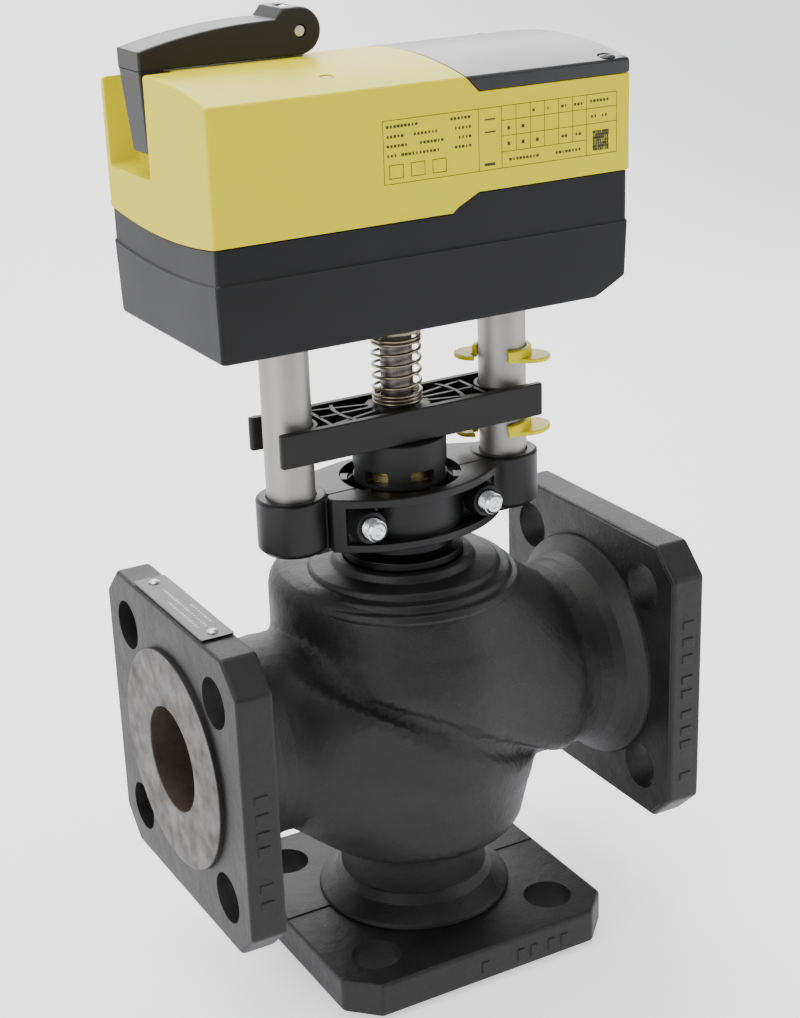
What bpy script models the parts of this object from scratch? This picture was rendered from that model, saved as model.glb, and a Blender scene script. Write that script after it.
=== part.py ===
"""Motorized valve actuator: a flanged three-way valve with an electric linear actuator on top.

Metres, +Z up the stem, +X along the pipe, origin at the middle of the bottom flange face.
"""

import math

import bmesh
import bpy
from mathutils import Matrix, Vector

# Solids are cut and joined in millimetres, where exact booleans are sturdier
WORK_SCALE = 1000.0
WELD = 0.0005

# Clearances
GAP = 0.0003
RUNNING_FIT = 0.0004
SCREW_FIT = 0.0004
# Cutters and joined pieces run this far past a face; the larger two clear the whole head.
OVERRUN = 0.001
BEYOND = 0.100
SKY_Z = 0.400

# Roundness: a side's middle is this far inside its circle, less than the gap between nested round pieces
CHORD_ERROR = GAP * 0.85
CHAMBER_STEPS = 20
FINEST_RADIUS = 0.002

# Valve casting
FACE_TO_FACE = 0.200
PIPE_AXIS_Z = 0.100
FLANGE_SIDE = 0.1168
FLANGE_THICKNESS = 0.016
FLANGE_CORNER = 0.0112
RAISED_FACE_RADIUS = 0.042
RAISED_FACE_HEIGHT = 0.002
BOLT_CIRCLE_RADIUS = 0.055
BOLT_HOLE_RADIUS = 0.0095
PORT_RADIUS = 0.020
DUCT_RADIUS = 0.038
DUCT_START_X = 0.046
CHAMBER_WIDE_RADIUS = 0.051
CHAMBER_WIDE_OFFSET = 0.029
CHAMBER_END_RADIUS = 0.040
CHAMBER_END_OFFSET = 0.0545
CHAMBER_ROOT_RADIUS = 0.0485
CHAMBER_ROOT_OFFSET = 0.021
CHAMBER_WALL = 0.011
CORE_RADIUS = 0.0445
BOTTOM_NECK_RADIUS = 0.029
LEDGE_RADIUS = 0.0345
LEDGE_HEIGHT = 0.0025
COLLAR_SEAT_RADIUS = 0.0265
COLLAR_SEAT_HEIGHT = 0.0035
SEAT_LEDGE_RADIUS = 0.0195
SEAT_HOLE_RADIUS = 0.0175
UPPER_SEAT_Z = 0.0963
SEAT_RING_HEIGHT = 0.008
SEAT_RING_RADIUS = 0.0237
LOWER_SEAT_TOP_Z = 0.052
LOWER_RING_RADIUS = 0.0196
STROKE = 0.008

# Bonnet, gland and stem
BONNET_THREAD_RADIUS = 0.022
BONNET_THREAD_LENGTH = 0.016
BONNET_COLLAR_RADIUS = 0.0225
BONNET_NECK_RADIUS = 0.019
BONNET_TOP_Z = 0.182
GLAND_NUT_FLATS = 0.022
GLAND_NUT_HEIGHT = 0.0055
PACKING_RADIUS = 0.0085
PACKING_HEIGHT = 0.010
GUIDE_BUSH_RADIUS = 0.008
GUIDE_BUSH_HEIGHT = 0.014
STEM_RADIUS = 0.005
STEM_GROOVE_RADIUS = 0.0036
PLUG_RADIUS = 0.0188
PLUG_DISC = 0.007
PLUG_SKIRT_RADIUS = 0.0158
PLUG_SKIRT_LENGTH = 0.009
PLUG_HUB_RADIUS = 0.0095
STEM_IN_PLUG = 0.018

# Bracket and pillars
BRACKET_BOTTOM_Z = 0.1713
BRACKET_TOP_Z = 0.1918
PILLAR_SPACING = 0.091
PILLAR_RADIUS = 0.009
PILLAR_SOCKET_FLOOR_Z = 0.1790
BOSS_RADIUS = 0.0131
BRACKET_RING_RADIUS = 0.0235
CLAMP_BOW = 0.014
CLAMP_DEPTH = 0.0265
CLAMP_HALF_WIDTH = 0.0355
CLAMP_RIM = 0.0032
CLAMP_WEB_Y = 0.0150
CLAMP_SEAM_Y = 0.0060
CLAMP_SCREW_X = 0.0246
CLAMP_SCREW_Z = 0.1818
CLAMP_SCREW_RADIUS = 0.004
CLAMP_BOSS_RADIUS = 0.0062
CLAMP_BOSS_Y = 0.0200
CLAMP_SCREW_TIP_Y = 0.0285
CONSOLE_BACK_Y = 0.0215
SCREW_HEAD_FLATS = 0.013
SCREW_HEAD_HEIGHT = 0.0053
PILLAR_SCREW_RADIUS = 0.003
PILLAR_SCREW_RECESS = 0.0045
PILLAR_SCREW_LENGTH = 0.016
PILLAR_SCREW_HEAD_RADIUS = 0.005
PILLAR_SCREW_HEAD_HEIGHT = 0.0036
PILLAR_TAP_DEPTH = 0.019

# Spindle group, at the bottom of its stroke
SLEEVE_RADIUS = 0.0176
SLEEVE_BORE_RADIUS = 0.0140
SLEEVE_BOTTOM_Z = 0.1902
SLEEVE_ROOF = 0.0045
WINDOW_BOTTOM = 0.0020
WINDOW_HEIGHT = 0.0048
WINDOW_WIDTH = 0.0098
WINDOW_COUNT = 6
JAW_RADIUS = 0.0136
JAW_HEIGHT = 0.0062
CROSS_BOTTOM_Z = 0.2075
CROSS_HEIGHT = 0.0125
CROSS_FLOOR = 0.0040
CROSS_LENGTH = 0.1095
CROSS_BAR_OUTER_Y = 0.0142
CROSS_BAR_THICKNESS = 0.0034
CROSS_HUB_RADIUS = 0.0125
CROSS_RIB_RING_RADIUS = 0.0255
CROSS_RIB = 0.0016
CROSS_PLATE_HALF = 0.0440
CROSS_HUB_DROP = 0.0012
RIB_STAGGER = 0.00004
SPINDLE_RADIUS = 0.006
SPINDLE_BOTTOM_Z = 0.2042
SPINDLE_TOP_Z = 0.3250
SPRING_RADIUS = 0.0088
SPRING_WIRE = 0.00125
SPRING_TOP_Z = 0.2462
SPRING_BOTTOM_TURNS = 3
SPRING_TOP_TURNS = 2
SPRING_OPEN_TURNS = 4.5
CLOSED_PITCH = 0.00138
WASHER_RADIUS = 0.0099
WASHER_THICKNESS = 0.0014
RING_GROOVE_RADIUS = 0.0050
RETAINER_RADIUS = 0.0082
RETAINER_THICKNESS = 0.0012

# Stroke indicators on the right pillar
INDICATOR_COLLAR_RADIUS = 0.0112
INDICATOR_WING_REACH = 0.0185
INDICATOR_WING_WIDTH = 0.0150
INDICATOR_WING_THICKNESS = 0.0016
INDICATOR_COLLAR_HEIGHT = 0.0050
INDICATOR_OPENING_START = 193.0
INDICATOR_OPENING_END = 296.0
INDICATOR_TURN = math.radians(-45)
UPPER_INDICATOR_Z = 0.2284
LOWER_INDICATOR_Z = 0.1988

# Actuator head
HEAD_LEFT_X = -0.0885
HEAD_RIGHT_X = 0.0715
HEAD_HALF_WIDTH = 0.044
HEAD_BOTTOM_Z = 0.2584
RIDGE_Z = 0.2847
SPLIT_Z = 0.2985
SPLIT_STEP = 0.0042
SPLIT_STEP_X = 0.0014
SPLIT_STEP_RUN = 0.0083
SPLIT_DIP = 0.005
HEAD_TOP_Z = 0.341
HEAD_CROWN = 0.005
BASE_TAPER = 0.0020
BASE_WALL = 0.0026
SHELL_WALL = 0.0025
CORNER_CHAMFER_X = 0.0137
CORNER_CHAMFER_Z = 0.0073
COVER_Z = 0.3362
COVER_LEFT_X = 0.0057
COVER_WALL = 0.0025
COVER_HOLE_MARGIN = 0.010
COVER_SCREW_X = 0.064
COVER_SCREW_Y = HEAD_HALF_WIDTH - 0.004
COVER_POCKET_HALF_WIDTH = HEAD_HALF_WIDTH - 0.008
COVER_SCREW_SINK = 0.0018
COVER_SCREW_RADIUS = 0.0015
COVER_SCREW_HEAD_RADIUS = 0.0028
COVER_SCREW_LENGTH = 0.012
SPINDLE_HOLE_RADIUS = 0.0135
HOUSING_LEG_X = (HEAD_RIGHT_X - HEAD_LEFT_X) / 2 - 0.014
HOUSING_LEG_Y = HEAD_HALF_WIDTH - 0.010
HOUSING_LEG_RADIUS = 0.0034
HOUSING_SCREW_RADIUS = 0.0015
HOUSING_SCREW_HEAD_RADIUS = 0.003
HOUSING_SCREW_HEAD_HEIGHT = 0.0018
HOUSING_SCREW_LENGTH = 0.015
ENTRY_RADIUS = 0.006
ENTRY_HEAD_RADIUS = 0.0076
ENTRY_HEAD_THICKNESS = 0.0024
ENTRY_LENGTH = 0.009
ENTRY_Y = 0.022
ENTRY_Z = 0.2930
STATUS_X = -0.0376
STATUS_Y = -0.0277
STATUS_RADIUS = 0.0020

# Crank
CRANK_Y = 0.0175
CRANK_WIDTH = 0.019
CRANK_HUB_X = -0.0285
CRANK_HUB_RADIUS = 0.0080
CRANK_LIFT = 0.0004
CRANK_ARM_TIP_HEIGHT = 0.0065
CRANK_ARM_ROOT_HEIGHT = 0.0125
CRANK_GRIP_THICKNESS = 0.0092
CRANK_GRIP_LENGTH = 0.0275
CRANK_GRIP_END_WIDTH = 0.0140
CRANK_TONGUE_WIDTH = 0.0070
CRANK_SHAFT_RADIUS = 0.005
CRANK_NECK_HALF = 0.0035
CRANK_PIN_RADIUS = 0.002
SLOT_NEAR_Y = 0.0046
SLOT_FAR_Y = HEAD_HALF_WIDTH - 0.004
SLOT_DEPTH = 0.0120
SLOT_FLOOR_Z = 0.3115

# Drive inside the head
LOWER_PLATE_Z = 0.2830
PLATE_THICKNESS = 0.0025
LOWER_PLATE_LENGTH = 0.116
LOWER_PLATE_WIDTH = 0.060
GEAR_MODULE = 0.0008
NUT_TEETH = 56
SMALL_TEETH = 16
LARGE_TEETH = 36
PINION_TEETH = 14
THRUST_RADIUS = 0.013
THRUST_HEIGHT = 0.0034
NUT_GEAR_HEIGHT = 0.0042
LARGE_GEAR_HEIGHT = 0.0032
AXLE_RADIUS = 0.002
INTERMEDIATE_ANGLE = math.radians(235)
PINION_ANGLE = math.radians(150)
UPPER_PLATE_Z = 0.3010
MOTOR_RADIUS = 0.0165
MOTOR_HEIGHT = 0.0210
MOTOR_SHAFT_RADIUS = 0.0012
PLATE_POST_RADIUS = 0.003
BOARD_LEFT_X = 0.0140
BOARD_RIGHT_X = 0.0600
BOARD_HALF_WIDTH = 0.0290
BOARD_Z = 0.3080
BOARD_THICKNESS = 0.0016
BOARD_POST_RADIUS = 0.003
TERMINAL_HEIGHT = 0.012
TERMINAL_DEPTH = 0.011
SWITCH_SIZE = 0.007

# Rating plate on the left flange
PLATE_LENGTH = 0.062
PLATE_WIDTH = 0.0125
PLATE_SHEET = 0.0006
RIVET_RADIUS = 0.0021
RIVET_HEIGHT = 0.0009

# Worked out from the sizes above
FLANGE_HALF = FLANGE_SIDE / 2
FLANGE_FRONT_X = FACE_TO_FACE / 2
FLANGE_BACK_X = FLANGE_FRONT_X - FLANGE_THICKNESS
PILLAR_X = PILLAR_SPACING / 2
CASTING_TOP_Z = PIPE_AXIS_Z + CHAMBER_END_OFFSET
COLLAR_SEAT_Z = CASTING_TOP_Z + LEDGE_HEIGHT + COLLAR_SEAT_HEIGHT
CROSS_TOP_Z = CROSS_BOTTOM_Z + CROSS_HEIGHT
CRANK_UNDERSIDE_Z = HEAD_TOP_Z + HEAD_CROWN + CRANK_LIFT
CRANK_HUB_Z = CRANK_UNDERSIDE_Z + CRANK_HUB_RADIUS
PLATE_TOP_Z = LOWER_PLATE_Z + PLATE_THICKNESS
NUT_GEAR_Z = PLATE_TOP_Z + GAP + THRUST_HEIGHT + GAP
LARGE_GEAR_Z = NUT_GEAR_Z + NUT_GEAR_HEIGHT + 0.001
INTERMEDIATE_REACH = GEAR_MODULE * (NUT_TEETH + SMALL_TEETH) / 2
PINION_REACH = GEAR_MODULE * (LARGE_TEETH + PINION_TEETH) / 2
INTERMEDIATE_X = INTERMEDIATE_REACH * math.cos(INTERMEDIATE_ANGLE)
INTERMEDIATE_Y = INTERMEDIATE_REACH * math.sin(INTERMEDIATE_ANGLE)
MOTOR_X = INTERMEDIATE_X + PINION_REACH * math.cos(PINION_ANGLE)
MOTOR_Y = INTERMEDIATE_Y + PINION_REACH * math.sin(PINION_ANGLE)

# Finishes: base colour, roughness, metallic
FINISHES = {
    "cast_iron_black": ((0.022, 0.022, 0.023, 1), 0.55, 0.0),
    "zinc_steel": ((0.62, 0.63, 0.64, 1), 0.3, 1.0),
    "plain_steel": ((0.42, 0.41, 0.38, 1), 0.4, 1.0),
    "spring_steel": ((0.24, 0.22, 0.16, 1), 0.38, 1.0),
    "satin_pillar": ((0.45, 0.43, 0.41, 1), 0.42, 1.0),
    "brass": ((0.62, 0.5, 0.24, 1), 0.35, 1.0),
    "black_plastic": ((0.020, 0.021, 0.023, 1), 0.45, 0.0),
    "yellow_plastic": ((0.78, 0.62, 0.02, 1), 0.35, 0.0),
    "grey_plastic": ((0.25, 0.26, 0.27, 1), 0.5, 0.0),
    "green_board": ((0.02, 0.16, 0.06, 1), 0.45, 0.0),
    "seal_rubber": ((0.018, 0.018, 0.018, 1), 0.8, 0.0),
    "plate_black": ((0.03, 0.03, 0.032, 1), 0.35, 0.2),
    "light_pipe": ((0.55, 0.45, 0.15, 1), 0.2, 0.0),
}


def clear_scene():
    """Remove every object, so that the file holds only this model."""
    for item in list(bpy.data.objects):
        bpy.data.objects.remove(item)


def material(name):
    """The Principled material of a finish, made once."""
    found = bpy.data.materials.get(name)
    if found:
        return found
    colour, roughness, metallic = FINISHES[name]
    made = bpy.data.materials.new(name)
    made.use_nodes = True
    shader = made.node_tree.nodes["Principled BSDF"]
    shader.inputs["Base Color"].default_value = colour
    shader.inputs["Roughness"].default_value = roughness
    shader.inputs["Metallic"].default_value = metallic
    made.diffuse_color = colour
    return made


def shape(verts, faces):
    """An object from points and faces, with its faces turned outwards."""
    mesh = bpy.data.meshes.new("shape")
    mesh.from_pydata([Vector(v) * WORK_SCALE for v in verts], [], faces)
    work = bmesh.new()
    work.from_mesh(mesh)
    bmesh.ops.recalc_face_normals(work, faces=work.faces)
    work.to_mesh(mesh)
    work.free()
    made = bpy.data.objects.new("shape", mesh)
    bpy.context.scene.collection.objects.link(made)
    return made


def steps_for(radius):
    """How many sides a round shape of this radius takes: an even number."""
    return 2 * math.ceil(math.pi / math.acos(1 - CHORD_ERROR / max(radius, FINEST_RADIUS)) / 2)


def placed(a, b, h, axis):
    """A point from two coordinates in a plane and a height along its axis."""
    if axis == "X":
        return (h, a, b)
    if axis == "Y":
        return (a, h, b)
    return (a, b, h)


def prism(outline, low, high, axis="Z"):
    """An outline drawn across an axis and extruded along it."""
    count = len(outline)
    verts = [placed(a, b, low, axis) for a, b in outline]
    verts += [placed(a, b, high, axis) for a, b in outline]
    sides = [(i, (i + 1) % count, count + (i + 1) % count, count + i) for i in range(count)]
    ends = [tuple(range(count)), tuple(range(2 * count - 1, count - 1, -1))]
    return shape(verts, sides + ends)


def loft(low_outline, low, high_outline, high):
    """Two outlines with equal point counts, joined by straight walls."""
    count = len(low_outline)
    verts = [(a, b, low) for a, b in low_outline]
    verts += [(a, b, high) for a, b in high_outline]
    sides = [(i, (i + 1) % count, count + (i + 1) % count, count + i) for i in range(count)]
    ends = [tuple(range(count)), tuple(range(2 * count - 1, count - 1, -1))]
    return shape(verts, sides + ends)


def box(low, high):
    """A box between two corners."""
    outline = [(low[0], low[1]), (high[0], low[1]), (high[0], high[1]), (low[0], high[1])]
    return prism(outline, low[2], high[2])


def turned(profile, axis="Z", centre=(0.0, 0.0)):
    """A closed (radius, height) profile turned about an axis through a centre in its plane."""
    segments = steps_for(max(radius for radius, _ in profile))
    verts = []
    rings = []
    for radius, height in profile:
        if radius < 1e-7:
            rings.append([len(verts)] * segments)
            verts.append(placed(centre[0], centre[1], height, axis))
            continue
        rings.append(list(range(len(verts), len(verts) + segments)))
        for step in range(segments):
            angle = math.tau * (step + 0.5) / segments
            a = centre[0] + radius * math.cos(angle)
            b = centre[1] + radius * math.sin(angle)
            verts.append(placed(a, b, height, axis))
    faces = []
    for index, ring in enumerate(rings):
        following = rings[(index + 1) % len(rings)]
        for step in range(segments):
            after = (step + 1) % segments
            corners = [ring[step], ring[after], following[after], following[step]]
            unique = list(dict.fromkeys(corners))
            if len(unique) > 2:
                faces.append(unique)
    return shape(verts, faces)


def rod(radius, low, high, axis="Z", centre=(0.0, 0.0), edge=0.0):
    """A solid round bar with an optional chamfer at both ends."""
    profile = [(0.0, low), (radius - edge, low), (radius, low + edge)]
    profile += [(radius, high - edge), (radius - edge, high), (0.0, high)]
    if edge == 0.0:
        profile = [(0.0, low), (radius, low), (radius, high), (0.0, high)]
    return turned(profile, axis, centre)


def tube(outer, inner, low, high, centre=(0.0, 0.0)):
    """A round ring with square edges."""
    profile = [(inner, low), (outer, low), (outer, high), (inner, high)]
    return turned(profile, "Z", centre)


def ring_points(radius, offset, segments=CHAMBER_STEPS):
    """Points of a circle about the stem axis, at a height."""
    points = []
    for step in range(segments):
        angle = math.tau * (step + 0.5) / segments
        points.append(Vector((radius * math.cos(angle), radius * math.sin(angle), offset)))
    return points


def duct_points(radius, x, segments=CHAMBER_STEPS):
    """Points of a circle about the pipe axis, at a place along it."""
    points = []
    for step in range(segments):
        angle = math.tau * (step + 0.5) / segments
        point = (x, radius * math.cos(angle), PIPE_AXIS_Z + radius * math.sin(angle))
        points.append(Vector(point))
    return points


def hull(points):
    """The convex hull of some points, as one closed object."""
    work = bmesh.new()
    for point in points:
        work.verts.new(point * WORK_SCALE)
    result = bmesh.ops.convex_hull(work, input=work.verts)
    loose = [item for item in result["geom_interior"] if isinstance(item, bmesh.types.BMVert)]
    bmesh.ops.delete(work, geom=loose, context="VERTS")
    bmesh.ops.recalc_face_normals(work, faces=work.faces)
    mesh = bpy.data.meshes.new("hull")
    work.to_mesh(mesh)
    work.free()
    made = bpy.data.objects.new("hull", mesh)
    bpy.context.scene.collection.objects.link(made)
    return made


def combine(target, tools, operation):
    """Apply one exact boolean after another, and drop the tools."""
    for tool in tools:
        modifier = target.modifiers.new("boolean", "BOOLEAN")
        modifier.object = tool
        modifier.operation = operation
        modifier.solver = "EXACT"
    graph = bpy.context.evaluated_depsgraph_get()
    result = bpy.data.meshes.new_from_object(target.evaluated_get(graph))
    target.modifiers.clear()
    target.data = result
    work = bmesh.new()
    work.from_mesh(result)
    bmesh.ops.remove_doubles(work, verts=work.verts, dist=WELD)
    work.to_mesh(result)
    work.free()
    for tool in tools:
        bpy.data.objects.remove(tool)
    return target


def join(target, *tools):
    """Union the tools into the target."""
    return combine(target, tools, "UNION")


def cut(target, *tools):
    """Subtract the tools from the target."""
    return combine(target, tools, "DIFFERENCE")


def keep(target, tool):
    """Leave only what the target shares with the tool."""
    return combine(target, [tool], "INTERSECT")


def node(target, name, finish, origin=(0.0, 0.0, 0.0)):
    """Name a finished piece, dress it, and put its origin on its joint axis."""
    target.name = name
    target.data.name = name
    target.data.materials.clear()
    target.data.materials.append(material(finish))
    for face in target.data.polygons:
        face.material_index = 0
    target.data.shade_smooth()
    target.data.set_sharp_from_angle(angle=math.radians(35))
    for vertex in target.data.vertices:
        vertex.co = vertex.co / WORK_SCALE - Vector(origin)
    target.location = origin
    return target


def arc(centre_a, centre_b, radius, start, end, steps):
    """Points of an arc, from one angle in degrees to another."""
    points = []
    for step in range(steps + 1):
        angle = math.radians(start + (end - start) * step / steps)
        points.append((centre_a + radius * math.cos(angle), centre_b + radius * math.sin(angle)))
    return points


def hexagon(flats, centre_a=0.0, centre_b=0.0):
    """A regular hexagon given by its width across flats."""
    radius = flats / math.sqrt(3)
    return arc(centre_a, centre_b, radius, 0, 300, 5)


def flange_outline():
    """A square with its four corners cut."""
    half = FLANGE_HALF
    inner = FLANGE_HALF - FLANGE_CORNER
    outline = [(-inner, -half), (inner, -half), (half, -inner), (half, inner)]
    return outline + [(inner, half), (-inner, half), (-half, inner), (-half, -inner)]


def flange(axis, face, back):
    """One square flange plate with its raised face, seen along an axis."""
    lift = PIPE_AXIS_Z if axis == "X" else 0.0
    outline = [(a, b + lift) for a, b in flange_outline()]
    side = 1.0 if face > back else -1.0
    plate_face = face - side * RAISED_FACE_HEIGHT
    plate = prism(outline, min(back, plate_face), max(back, plate_face), axis)
    middle = (face + back) / 2
    low = min(face, middle)
    high = max(face, middle)
    raised = rod(RAISED_FACE_RADIUS, low, high, axis, (0.0, lift))
    return join(plate, raised)


def bolt_holes(axis, low, high):
    """Four bolt-hole cutters on the bolt circle of a flange."""
    lift = PIPE_AXIS_Z if axis == "X" else 0.0
    reach = BOLT_CIRCLE_RADIUS / math.sqrt(2)
    holes = []
    for side_a in (-1, 1):
        for side_b in (-1, 1):
            centre = (side_a * reach, side_b * reach + lift)
            holes.append(rod(BOLT_HOLE_RADIUS, low, high, axis, centre))
    return holes


def chamber(side, shrink):
    """A bell about the stem that runs into a duct: side +1 is up and right, -1 down and left."""
    rings = [
        (CHAMBER_ROOT_RADIUS, CHAMBER_ROOT_OFFSET),
        (CHAMBER_WIDE_RADIUS, CHAMBER_WIDE_OFFSET),
        (CHAMBER_END_RADIUS + 0.006, CHAMBER_END_OFFSET - 0.0105),
        (CHAMBER_END_RADIUS, CHAMBER_END_OFFSET),
    ]
    points = []
    for radius, offset in rings:
        inner = offset
        if shrink:
            inner = min(max(offset, CHAMBER_ROOT_OFFSET - 0.004), CHAMBER_END_OFFSET - 0.008)
        points += ring_points(radius - shrink, PIPE_AXIS_Z + side * inner)
    if shrink:
        return hull(points + duct_points(PORT_RADIUS - OVERRUN, side * (FLANGE_BACK_X - 0.010)))
    points += duct_points(DUCT_RADIUS, side * DUCT_START_X)
    return hull(points + duct_points(DUCT_RADIUS, side * (FLANGE_BACK_X + 0.004)))


def make_valve_body():
    """The casting: two chambers, three flanges, the bottom neck and the collar seat."""
    body = chamber(1, 0.0)
    ledge = rod(LEDGE_RADIUS, CASTING_TOP_Z - 0.002, CASTING_TOP_Z + LEDGE_HEIGHT)
    seat = rod(COLLAR_SEAT_RADIUS, CASTING_TOP_Z - OVERRUN, COLLAR_SEAT_Z)
    neck = rod(BOTTOM_NECK_RADIUS, FLANGE_THICKNESS - 0.002, 0.056)
    core = rod(CORE_RADIUS, PIPE_AXIS_Z - CHAMBER_WIDE_OFFSET, PIPE_AXIS_Z + CHAMBER_WIDE_OFFSET)
    pieces = [chamber(-1, 0.0), core, ledge, seat, neck]
    pieces.append(flange("X", FLANGE_FRONT_X, FLANGE_BACK_X))
    pieces.append(flange("X", -FLANGE_FRONT_X, -FLANGE_BACK_X))
    pieces.append(flange("Z", 0.0, FLANGE_THICKNESS))
    body = join(body, *pieces)
    over = FLANGE_FRONT_X + OVERRUN
    cuts = [chamber(1, CHAMBER_WALL), chamber(-1, CHAMBER_WALL)]
    for side in (-1, 1):
        inner = side * (FLANGE_BACK_X - 0.016)
        cuts.append(rod(PORT_RADIUS, min(inner, side * over), max(inner, side * over), "X",
                        (0.0, PIPE_AXIS_Z)))
        edge = side * (FLANGE_BACK_X - 0.002)
        cuts += bolt_holes("X", min(edge, side * over), max(edge, side * over))
    cuts.append(rod(PORT_RADIUS, -0.001, 0.062))
    cuts += bolt_holes("Z", -0.001, FLANGE_THICKNESS + 0.002)
    cuts.append(rod(SEAT_LEDGE_RADIUS, 0.080, 0.120))
    cuts.append(rod(SEAT_RING_RADIUS + GAP, UPPER_SEAT_Z - GAP, 0.120))
    cuts.append(rod(BONNET_THREAD_RADIUS + GAP, 0.130, COLLAR_SEAT_Z + OVERRUN))
    node(cut(body, *cuts), "valve_body", "cast_iron_black")


def make_seat_rings():
    """The two seat rings that the plug closes on."""
    low = UPPER_SEAT_Z
    high = UPPER_SEAT_Z + SEAT_RING_HEIGHT
    upper = tube(SEAT_RING_RADIUS, SEAT_HOLE_RADIUS, low, high)
    node(upper, "upper_seat_ring", "plain_steel")
    low = LOWER_SEAT_TOP_Z - SEAT_RING_HEIGHT
    lower = tube(LOWER_RING_RADIUS, SEAT_HOLE_RADIUS - OVERRUN, low, LOWER_SEAT_TOP_Z)
    node(lower, "lower_seat_ring", "plain_steel")


def make_plug_and_stem():
    """The double-seated plug and the stem that screws into it."""
    bottom = LOWER_SEAT_TOP_Z + GAP
    top = UPPER_SEAT_Z - GAP - STROKE
    skirt = bottom - PLUG_SKIRT_LENGTH
    floor = top - STEM_IN_PLUG
    bore = STEM_RADIUS + GAP
    profile = [(0.0, skirt), (PLUG_SKIRT_RADIUS, skirt), (PLUG_SKIRT_RADIUS, bottom)]
    profile += [(PLUG_RADIUS, bottom), (PLUG_RADIUS, bottom + PLUG_DISC)]
    profile += [(PLUG_HUB_RADIUS, bottom + PLUG_DISC + 0.003), (PLUG_HUB_RADIUS, top - PLUG_DISC - 0.003)]
    profile += [(PLUG_RADIUS, top - PLUG_DISC), (PLUG_RADIUS, top), (bore, top)]
    profile += [(bore, floor), (0.0, floor)]
    node(turned(profile), "valve_plug", "plain_steel")
    tip = SPINDLE_BOTTOM_Z - GAP
    groove_low = SLEEVE_BOTTOM_Z + WINDOW_BOTTOM
    groove_high = groove_low + JAW_HEIGHT
    groove = STEM_GROOVE_RADIUS
    profile = [(0.0, floor + GAP), (STEM_RADIUS, floor + GAP), (STEM_RADIUS, groove_low - GAP)]
    profile += [(groove, groove_low - GAP), (groove, groove_high + GAP)]
    profile += [(STEM_RADIUS, groove_high + GAP), (STEM_RADIUS, tip), (0.0, tip)]
    node(turned(profile), "valve_stem", "zinc_steel")


def make_bonnet_group():
    """The screwed bonnet with its guide bush, packing and gland nut."""
    thread_low = COLLAR_SEAT_Z - BONNET_THREAD_LENGTH
    collar_low = COLLAR_SEAT_Z + GAP
    collar_high = BRACKET_BOTTOM_Z - GAP
    bore = STEM_RADIUS + RUNNING_FIT
    bush_top = thread_low + GUIDE_BUSH_HEIGHT
    packing_low = BONNET_TOP_Z - PACKING_HEIGHT
    profile = [(GUIDE_BUSH_RADIUS + GAP, thread_low), (BONNET_THREAD_RADIUS, thread_low)]
    profile += [(BONNET_THREAD_RADIUS, collar_low), (BONNET_COLLAR_RADIUS, collar_low)]
    profile += [(BONNET_COLLAR_RADIUS, collar_high), (BONNET_NECK_RADIUS, collar_high)]
    profile += [(BONNET_NECK_RADIUS, BONNET_TOP_Z), (PACKING_RADIUS + GAP, BONNET_TOP_Z)]
    profile += [(PACKING_RADIUS + GAP, packing_low - GAP), (bore, packing_low - GAP)]
    profile += [(bore, bush_top + GAP), (GUIDE_BUSH_RADIUS + GAP, bush_top + GAP)]
    node(turned(profile), "bonnet", "cast_iron_black")
    bush = tube(GUIDE_BUSH_RADIUS, bore, thread_low, bush_top)
    node(bush, "stem_guide_bush", "brass")
    packing = tube(PACKING_RADIUS, bore, packing_low, BONNET_TOP_Z - GAP)
    node(packing, "stem_packing", "seal_rubber")
    nut_low = BONNET_TOP_Z + GAP
    nut = prism(hexagon(GLAND_NUT_FLATS), nut_low, nut_low + GLAND_NUT_HEIGHT)
    nut = cut(nut, rod(bore, nut_low - OVERRUN, nut_low + GLAND_NUT_HEIGHT + OVERRUN))
    node(nut, "gland_nut", "brass")


def clamp_front_arc(inset, steps=12):
    """The bowed front edge of the clamp, moved in by an inset, as (x, y) from left to right."""
    half = CLAMP_HALF_WIDTH
    radius = (half * half + CLAMP_BOW * CLAMP_BOW) / (2 * CLAMP_BOW)
    spread = math.degrees(math.asin(half / radius))
    centre = radius - CLAMP_DEPTH
    return arc(0.0, centre, radius - inset, 270 - spread, 270 + spread, steps)


def bracket_screw_holes(low, high):
    """Two cutters for the clamp screws, between two places on Y."""
    radius = CLAMP_SCREW_RADIUS + SCREW_FIT
    spots = [(side * CLAMP_SCREW_X, CLAMP_SCREW_Z) for side in (-1, 1)]
    return [rod(radius, low, high, "Y", spot) for spot in spots]


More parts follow.
